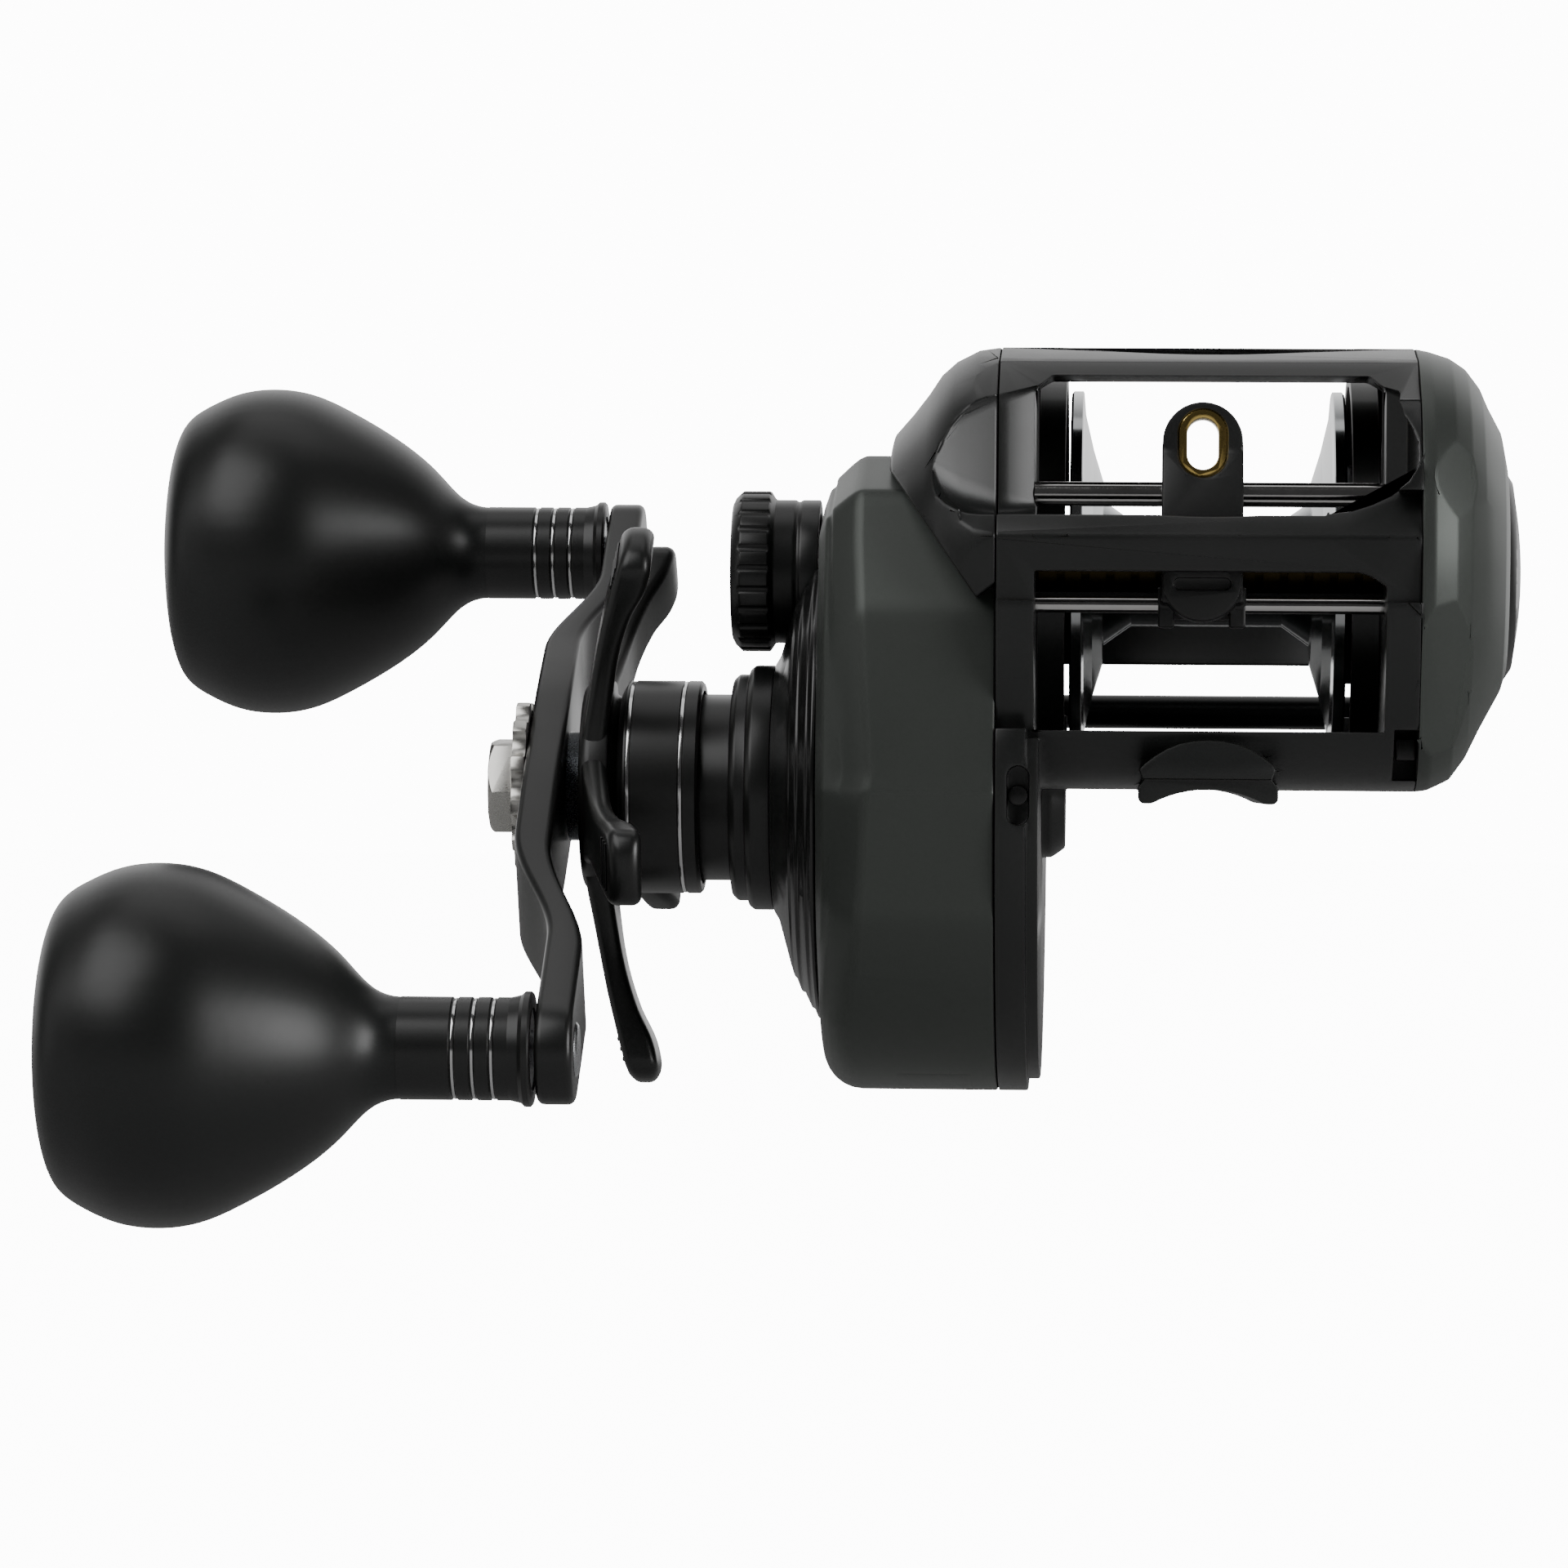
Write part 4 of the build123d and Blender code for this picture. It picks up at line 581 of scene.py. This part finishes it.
def star_half(t):
    if t > 29.6:
        u = min((t - 29.6) / 2.9, 1.0)
        return 4.2 * math.sqrt(max(1 - u ** 2.2, 0.0))
    return smooth_table([(6, 7.3), (9, 6.3), (12, 5.1), (16, 4.0), (19, 3.6), (24, 3.75), (27, 4.1), (29.6, 4.2)], t)


STAR_O = [(6, -67.8), (7, -67.8), (11, -67.25), (14.5, -66.6), (19, -65.75), (23, -64.9), (26.5, -64.0), (30.6, -62.9), (32.5, -62.3)]
STAR_I = [(6, -65.0), (7, -65.0), (12.4, -64.3), (19, -63.2), (24, -61.7), (27.6, -60.0), (30.4, -59.35), (32.5, -59.5)]
for i in range(5):
    arm_piece = plate(f"star_arm_{i + 1}", star_half, star_half, 6.0, 32.45,
                      lambda t: smooth_table(STAR_O, t), lambda t: smooth_table(STAR_I, t), 1.05,
                      star_put(34.5 + 72 * i), "star_drag", "trim_black", n=46, s=5, slot_name="trim_black")
    if i == 0:
        first_star = arm_piece
    # three fine grip ridges near the tip, on the outer face
    for j, tr in enumerate((27.6, 28.7, 29.8)):
        put = star_put(34.5 + 72 * i)
        xo = smooth_table(STAR_O, tr)
        hw = 2.6
        bar = [[put(w, tr + 0.28 * math.cos(q_), xo - 0.02 - 0.16 * math.sin(q_)) for q_ in
                [math.pi * z_ / 6 for z_ in range(7)] + [math.pi * 1.5]] for w in (-hw, -hw + 0.25, hw - 0.25, hw)]
        me = ring_loft(f"star_ridge_{i + 1}_{j + 1}", bar)
        link_mesh(f"star_ridge_{i + 1}_{j + 1}", me, "star_drag", "trim_black", "trim_black", 50)
hub = lathe("star_hub", [(-63.65, 4.4, 0.05), (-63.65, 9.5), (-64.6, 10.4, 0.3), (-64.6, 11.6, 0.3), (-67.0, 11.6, 0.5), (-67.8, 10.8, 0.4),
                         (-67.8, 7.0, 0.2), (-67.45, 6.6, 0.1), (-67.45, 4.4, 0.05)], DY, DZ, "star_drag", "trim_black", "trim_black", r=0.15)
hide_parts("star_wheel")

# ---------------------------------------------------------------- bright rings of the grooves, spacer
def groove_ring(name, x0, x1, r_, y, z, body, mat="polished_steel"):
    return lathe(name, [(x0, r_ - 0.12, 0), (x0, r_ - 0.02, 0), ((x0 + x1) / 2, r_, 0), (x1, r_ - 0.02, 0), (x1, r_ - 0.12, 0)],
                 y, z, body, mat, "polished_steel", r=0, seg=96)


for tag, ky, kz in (("a", KAY, KAZ), ("b", KBY, KBZ)):
    for i, (x0, x1) in enumerate(((-77.38, -77.12), (-75.34, -75.08), (-73.34, -73.08))):
        groove_ring(f"knob_{tag}_bright_ring_{i + 1}", x0, x1, 5.24, ky, kz, f"knob_{tag}")
for i, (x0, x1) in enumerate(((-56.86, -56.54), (-62.56, -62.24))):
    groove_ring(f"star_sleeve_bright_ring_{i + 1}", x0, x1, 11.58, DY, DZ, "star_drag")

thread = []
nthr = 9
for i in range(nthr):
    x = -69.55 + i * 0.165
    thread += [(x, 5.75, 0), (x + 0.08, 6.0, 0)]
thread = [(-69.6, 4.05, 0)] + thread + [(-68.13, 5.9, 0), (-68.13, 4.05, 0)]
sp = lathe("handle_spacer_threaded", thread, DY, DZ, "handle", "steel", "trim_black", r=0, seg=96)
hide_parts("handle_spacer")

# ---------------------------------------------------------------- gear-side cover
def arc_pts(c, r_, a0, a1, n):
    return [(c[0] + r_ * math.cos(math.radians(a0 + (a1 - a0) * k / n)), c[1] + r_ * math.sin(math.radians(a0 + (a1 - a0) * k / n)))
            for k in range(n + 1)]


case_poly = [(-38.9, 0.9)] + arc_pts((CY, CZ), CR, 206, 360, 62)[:-1] + [(29.6, 2.75)] + CASE_TOP[:-1]
NC = 240
case_ring = polar_resample(case_poly, (CY, CZ), NC)


def case_scaled(k_or_d, x_fn):
    """Ring at an inset d that may change round the case."""
    out = []
    for y, z in case_ring:
        v = Vector((y - CY, z - CZ))
        rr = v.length
        a_ = math.degrees(math.atan2(v.y, v.x)) % 360
        d = k_or_d(a_) if callable(k_or_d) else k_or_d
        v = v * ((rr - d) / rr)
        out.append((x_fn(a_) if callable(x_fn) else x_fn, CY + v.x, CZ + v.y))
    return out


def rimx(a_):
    # the rim's break: deeper at the front above the split line, shallower below
    return lerp_table([(0, -36.2), (90, -36.6), (140, -36.5), (165, -35.6), (180, -35.0), (184, -35.5), (200, -36.0), (235, -36.6), (270, -36.8), (360, -36.2)], a_)


def round_w(a_):
    return lerp_table([(0, 0.6), (20, 0.0), (200, 0.0), (232, 1.0), (300, 1.0), (360, 0.6)], a_)


def case_profile(k):
    """k-th ring of the corner between the wall and the outer face: a flat chamfer above, a round below."""
    ph = math.pi / 2 * k / 6
    rd_in, rd_x = 4.2 * (1 - math.cos(ph)), -37.0 - 4.2 * math.sin(ph)
    cin = (0.0, 0.35, 1.0, 1.8, 2.7, 3.5, 3.9)[k]

    def inset(a_):
        w = round_w(a_)
        return (1 - w) * cin + w * rd_in

    def xs(a_):
        w = round_w(a_)
        cx = (rimx(a_), rimx(a_) - 0.75, rimx(a_) - 1.5, rimx(a_) - 2.3, rimx(a_) - 3.2, -39.8, -40.4)[k]
        return (1 - w) * min(cx, cx) + w * max(rd_x, -41.1)
    return case_scaled(inset, xs)


case_mesh = ring_loft("gear_case", [case_scaled(0.0, -22.3), case_scaled(0.0, -22.9)] + [case_profile(k) for k in range(7)]
                      + [case_scaled(6.4, -41.25), case_scaled(9.5, -41.35)])

# hood over the level wind: rings along -X with the frame's outline, drawn in a little
hood_c = (-6.0, 27.0)
base = catmull(OUTLINE, 7)


def hood_ring(x, k, kz_top, dz=0.0, ky=None):
    out = []
    for y, z in base:
        yy = hood_c[0] + (y - hood_c[0]) * (ky if ky else k)
        zz = hood_c[1] + (z - hood_c[1]) * (kz_top if z > hood_c[1] else k) + dz
        out.append((x, yy, zz))
    return out


hood_mesh = ring_loft("hood", [
    hood_ring(-22.3, 1.0, 1.0), hood_ring(-24.6, 0.993, 0.985), hood_ring(-27.0, 0.955, 0.93, ky=0.965),
    hood_ring(-28.6, 0.92, 0.865, ky=0.935), hood_ring(-29.9, 0.88, 0.775, ky=0.90),
    hood_ring(-31.6, 0.82, 0.675, ky=0.85), hood_ring(-33.55, 0.74, 0.575, ky=0.78), hood_ring(-33.8, 0.70, 0.53, ky=0.75)])

# dished recess that runs from the window out over the hood
def round_rect(x0, x1, z0, z1, r_, y, n=8):
    pts = []
    for cx, cz, a0 in ((x1 - r_, z1 - r_, 0), (x0 + r_, z1 - r_, 90), (x0 + r_, z0 + r_, 180), (x1 - r_, z0 + r_, 270)):
        for k in range(n + 1):
            a_ = math.radians(a0 + 90 * k / n)
            pts.append((cx + r_ * math.cos(a_), y, cz + r_ * math.sin(a_)))
    return pts


def funnel():
    return ring_loft("funnel", [
        round_rect(-18.25, 18.25, 31.3, 43.9, 0.6, -29.0), round_rect(-18.4, 18.3, 31.0, 43.85, 0.8, -32.4),
        round_rect(-21.0, 20.6, 30.5, 43.6, 2.0, -33.6), round_rect(-26.2, 21.1, 30.0, 43.1, 4.2, -35.4),
        round_rect(-28.9, 21.3, 29.7, 42.9, 6.0, -37.0), round_rect(-30.2, 21.5, 29.9, 42.9, 6.4, -39.0),
        round_rect(-31.2, 21.7, 30.1, 43.0, 6.6, -44.5)])


def wedge(p, q_, x0=-60, x1=40, far=(-60.0, None)):
    """Everything in front of the line p-q in the YZ plane."""
    d = (Vector(q_) - Vector(p)).normalized()
    a_, b_ = Vector(p), Vector(q_)
    pts = [tuple(a_), tuple(b_), (b_.x - 14, b_.y), (a_.x - 14, a_.y)]
    return prism("wedge", pts, "X", x0, x1)


# crease line along the nose: upper facet leans back, lower facet leans in
def nose_cuts(x0, x1):
    return [wedge((-42.05, 27.7), (-38.6, 32.6), x0, x1), wedge((-40.3, 21.0), (-42.05, 27.7), x0, x1)]


def top_cuts(x0, x1):
    return [prism("c1", [(-27.8, 46.85), (-35.2, 42.3), (-46, 42.3), (-46, 53), (-27.8, 53)], "X", x0, x1),
            prism("c2", [(-18.0, 48.85), (-27.8, 46.85), (-27.8, 53), (-18.0, 53)], "X", x0, x1)]


cover = link_mesh("gear_side_cover_finished", case_mesh, "frame", "cover_grey", "cover_grey")
hood = link_mesh("hood_finished", hood_mesh, "frame", "frame_black", "cover_grey")
# the hood's lower front ends on a slanted line
diag = prism("diag", [(-22.0, 23.0), (-24.3, 21.3), (-33.9, 35.2), (-60, 35.2), (-60, -20), (-22.0, -20)], "Y", -60, -8)
low = prism("low", [(-60, -20), (60, -20), (60, 21.2), (-60, 21.2)], "X", -40, -22.0)
def oval(x, ry, rz, n=48):
    return [(x, SY + ry * math.cos(2 * math.pi * k / n), SZ + rz * math.sin(2 * math.pi * k / n)) for k in range(n)]


# both shells are open inside, so that the gears and the clutch have their room
boolean(cover, [ring_loft("case_room", [case_scaled(2.2, -21.5), case_scaled(2.2, -34.6), case_scaled(5.2, -38.4), case_scaled(9.0, -39.3)])])
boolean(cover, [ring_loft("pinion_room", [oval(-37.5, 5.6, 5.6), oval(-43.0, 5.6, 5.6)])])
boolean(hood, [ring_loft("hood_room", [oval(-21.5, 22.0, 15.5), oval(-28.0, 21.0, 15.0), oval(-31.0, 17.5, 11.5), oval(-36.5, 14.0, 9.0)])])
boolean(hood, [diag, low, funnel()] + nose_cuts(-26.0, -21.0) + top_cuts(-26.5, -21.0))
clean(hood)
bevel(hood, 0.3, 3, 24)
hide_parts("gear_side_cover")
bevel(cover, 0.35, 3, 14)

# ---------------------------------------------------------------- palm-side cover
def palm_ring(x, zlo, zhi, ky, twist=0.0, cy=-5.5):
    zc0, zh0 = 25.2, 23.75
    zc1, zh1 = (zlo + zhi) / 2, (zhi - zlo) / 2
    out = []
    for y, z in palm_base:
        yy = cy + (y - cy) * ky
        zz = zc1 + (z - zc0) / zh0 * zh1
        out.append((x, yy, zz))
    return out


palm_base = catmull(OUTLINE, 7)
palm_mesh = ring_loft("palm", [
    palm_ring(21.85, 1.45, 48.95, 1.0), palm_ring(23.2, 1.6, 48.7, 0.998), palm_ring(25.5, 2.7, 48.0, 0.965),
    palm_ring(27.2, 5.0, 46.9, 0.915), palm_ring(28.7, 8.0, 45.0, 0.85), palm_ring(29.6, 9.6, 43.0, 0.80),
    palm_ring(31.1, 12.2, 40.4, 0.68), palm_ring(31.75, 14.0, 37.6, 0.56), palm_ring(31.9, 15.5, 35.5, 0.46)])
palm = link_mesh("palm_side_cover_finished", palm_mesh, "frame", "cover_grey", "cover_grey", 20)
# facets: three slices off the front of the shell
def plane_cut(p, n_, size=60.0):
    """A big block on the far side of a plane through p with outward normal n_."""
    n_ = Vector(n_).normalized()
    u = n_.orthogonal().normalized()
    v = n_.cross(u)
    P = Vector(p)
    ring0 = [P + u * size * sx + v * size * sy for sx, sy in ((-1, -1), (1, -1), (1, 1), (-1, 1))]
    ring1 = [q_ + n_ * 40 for q_ in ring0]
    return ring_loft("slice", [[tuple(q_) for q_ in ring0], [tuple(q_) for q_ in ring1]])


boolean(palm, [plane_cut((24.6, -40.0, 33.0), (0.62, -0.74, 0.28)), plane_cut((26.3, -34.6, 42.5), (0.52, -0.45, 0.72)),
               plane_cut((23.2, -38.3, 14.2), (0.50, -0.78, -0.37))])
clean(palm)
bevel(palm, 0.25, 2, 8)
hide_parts("palm_side_cover")

# ---------------------------------------------------------------- finished CAD pieces
SEEN = {
    "port_cover": 0.15, "drive_housing": 0.12, "drive_collar": 0.2,
    "handle_nut": 0.15, "nut_retainer": 0.25, "knob_posts": 0.15,
    "knob_cap_a": 0.2, "knob_cap_b": 0.2, "cast_control_cap": 0.18, "thumb_bar": 0.4, "worm_guard": 0.1,
    "line_guide": 0.35, "guide_insert": 0.2, "pawl_cap": 0.2, "brake_dial": 0.2, "release_latch": 0.2,
    "clutch_plate": 0.1, "cover_screws": 0.12,
}
for n, w in SEEN.items():
    if w > 0:
        refined(n, w, 3 if w > 0.3 else 2)

fr = refined("frame", 0)
boolean(fr, [funnel()])
flare = prism("flare", [(12.0, 24.55), (14.6, 24.35), (16.6, 23.7), (18.4, 22.6), (20.0, 21.3), (21.75, 19.6), (21.75, 35.6), (20.4, 33.5),
                        (18.6, 32.05), (16.6, 31.1), (14.6, 30.45), (12.0, 30.1)], "Y", -41.7, -38.4)
bump = [(-7.2, 3.6), (-6.6, 4.2), (-5.6, 4.95), (-4.4, 5.7), (-3.0, 6.28), (-1.5, 6.58), (0, 6.66), (1.5, 6.56), (3.0, 6.24), (4.4, 5.66),
        (5.6, 4.92), (6.6, 4.2), (7.0, 3.6)]
saddle = prism("saddle", bump + [(6.6, 2.6), (-6.8, 2.6)], "Y", -36.6, -30.0)
boolean(fr, [flare, saddle], "UNION")
boolean(fr, nose_cuts(-30, 30) + top_cuts(-30, 30))
clean(fr)
bevel(fr, 0.24, 2, 22)

for n, o in NODES.items():
    if not o.hide_render:
        o.data.materials.clear()
        o.data.materials.append(M[SLOT[n]])
# the worm and its shaft get the darkened brass: painted shade where they sit deep in the frame
for n in ("worm_gear", "worm_shaft"):
    NODES[n].data.materials[0] = M["brass_dark"]
# a finished copy of the yoke springs, with a mesh of its own
springs = refined("yoke_springs", 0, name="yoke_springs_live")
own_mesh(springs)
for ob in scene.objects:
    if ob.name == "cover_screws_finished":
        ob.data.materials[0] = M["steel_dark"]
    if ob.name in ("handle_nut_finished", "nut_retainer_finished"):
        ob.data.materials[0] = M["nut_steel"]
    if ob.name == "drive_housing_finished":
        ob.data.materials[0] = M["gloss_black"]

# ---------------------------------------------------------------- floor, world, lights
WHITE, AMB_FRONT, AMB_BACK = 13.0, 0.045, 1.5
lo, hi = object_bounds()
floor_me = bpy.data.meshes.new("floor")
floor_me.from_pydata([(-6, -6, 0), (6, -6, 0), (6, 6, 0), (-6, 6, 0)], [], [(0, 1, 2, 3)])
floor = bpy.data.objects.new("floor", floor_me)
floor.location = (0, 0, lo.z - 0.030)      # low enough for a knob to pass as the handle turns
scene.collection.objects.link(floor)
fm, nt, b = new_mat("pale_floor")
b.inputs["Base Color"].default_value = (0.42, 0.42, 0.42, 1)
b.inputs["Roughness"].default_value = 0.9
b.inputs["Specular IOR Level"].default_value = 0.1
lp = nt.nodes.new("ShaderNodeLightPath")
em = nt.nodes.new("ShaderNodeEmission")
em.inputs["Strength"].default_value = WHITE
mixs = nt.nodes.new("ShaderNodeMixShader")
fac = nt.nodes.new("ShaderNodeMath"); fac.operation = "MULTIPLY"
fac.inputs[1].default_value = 0.97
nt.links.new(lp.outputs["Is Camera Ray"], fac.inputs[0])
nt.links.new(fac.outputs[0], mixs.inputs[0])
nt.links.new(b.outputs[0], mixs.inputs[1])
nt.links.new(em.outputs[0], mixs.inputs[2])
nt.links.new(mixs.outputs[0], nt.nodes["Material Output"].inputs["Surface"])
floor_me.materials.append(fm)

world = bpy.data.worlds.new("studio")
scene.world = world
world.use_nodes = True
wt = world.node_tree
bg = wt.nodes["Background"]
wl = wt.links.new
wtc = wt.nodes.new("ShaderNodeTexCoord")
sep = wt.nodes.new("ShaderNodeSeparateXYZ")
wl(wtc.outputs["Generated"], sep.inputs[0])
wr = wt.nodes.new("ShaderNodeMapRange")
wr.inputs["From Min"].default_value, wr.inputs["From Max"].default_value = 0.30, 0.9
wr.inputs["To Min"].default_value, wr.inputs["To Max"].default_value = AMB_FRONT, AMB_BACK
wl(sep.outputs["Y"], wr.inputs["Value"])
wlp = wt.nodes.new("ShaderNodeLightPath")
wm = wt.nodes.new("ShaderNodeMix"); wm.data_type = "FLOAT"
wl(wlp.outputs["Is Camera Ray"], wm.inputs[0])
wl(wr.outputs["Result"], wm.inputs[2])
wm.inputs[3].default_value = WHITE
bg.inputs["Color"].default_value = (1, 1, 1, 1)
wl(wm.outputs[0], bg.inputs["Strength"])


def area(name, loc, aim, size, power, size_y=None, colour=(1, 1, 1)):
    d = bpy.data.lights.new(name, "AREA")
    d.shape = "RECTANGLE"
    d.size, d.size_y = size, size_y or size
    d.energy = power
    d.color = colour
    o = bpy.data.objects.new(name, d)
    o.location = loc
    o.rotation_mode = "QUATERNION"
    o.rotation_quaternion = (Vector(aim) - Vector(loc)).to_track_quat("-Z", "Y")
    scene.collection.objects.link(o)
    return o


C = (-0.03, 0, 0.01)
area("key", (-0.55, -0.55, 0.70), C, 0.80, 5.5)
area("fill", (0.86, -0.50, 0.10), C, 0.50, 9.5, 0.8)
area("top", (0.0, 0.12, 0.98), C, 0.9, 1.2, 0.5)
area("left", (-1.00, -0.22, 0.05), C, 0.32, 0.6, 0.8)

# ---------------------------------------------------------------- sizes and end
# broken edges may stand a few thousandths of a millimetre proud: bring them back to the CAD box
for ob in scene.objects:
    if ob.type == "MESH" and ob.name not in NODES and ob.name != "floor" and not ob.hide_render:
        mw = ob.matrix_world.copy()
        inv = mw.inverted()
        for v in ob.data.vertices:
            w = mw @ v.co
            if w.x > cad_box[1][0] or w.z > cad_box[1][2] or w.x < cad_box[0][0] or w.y < cad_box[0][1] or w.y > cad_box[1][1] or w.z < cad_box[0][2]:
                v.co = inv @ Vector([min(max(w[i], cad_box[0][i]), cad_box[1][i]) for i in range(3)])
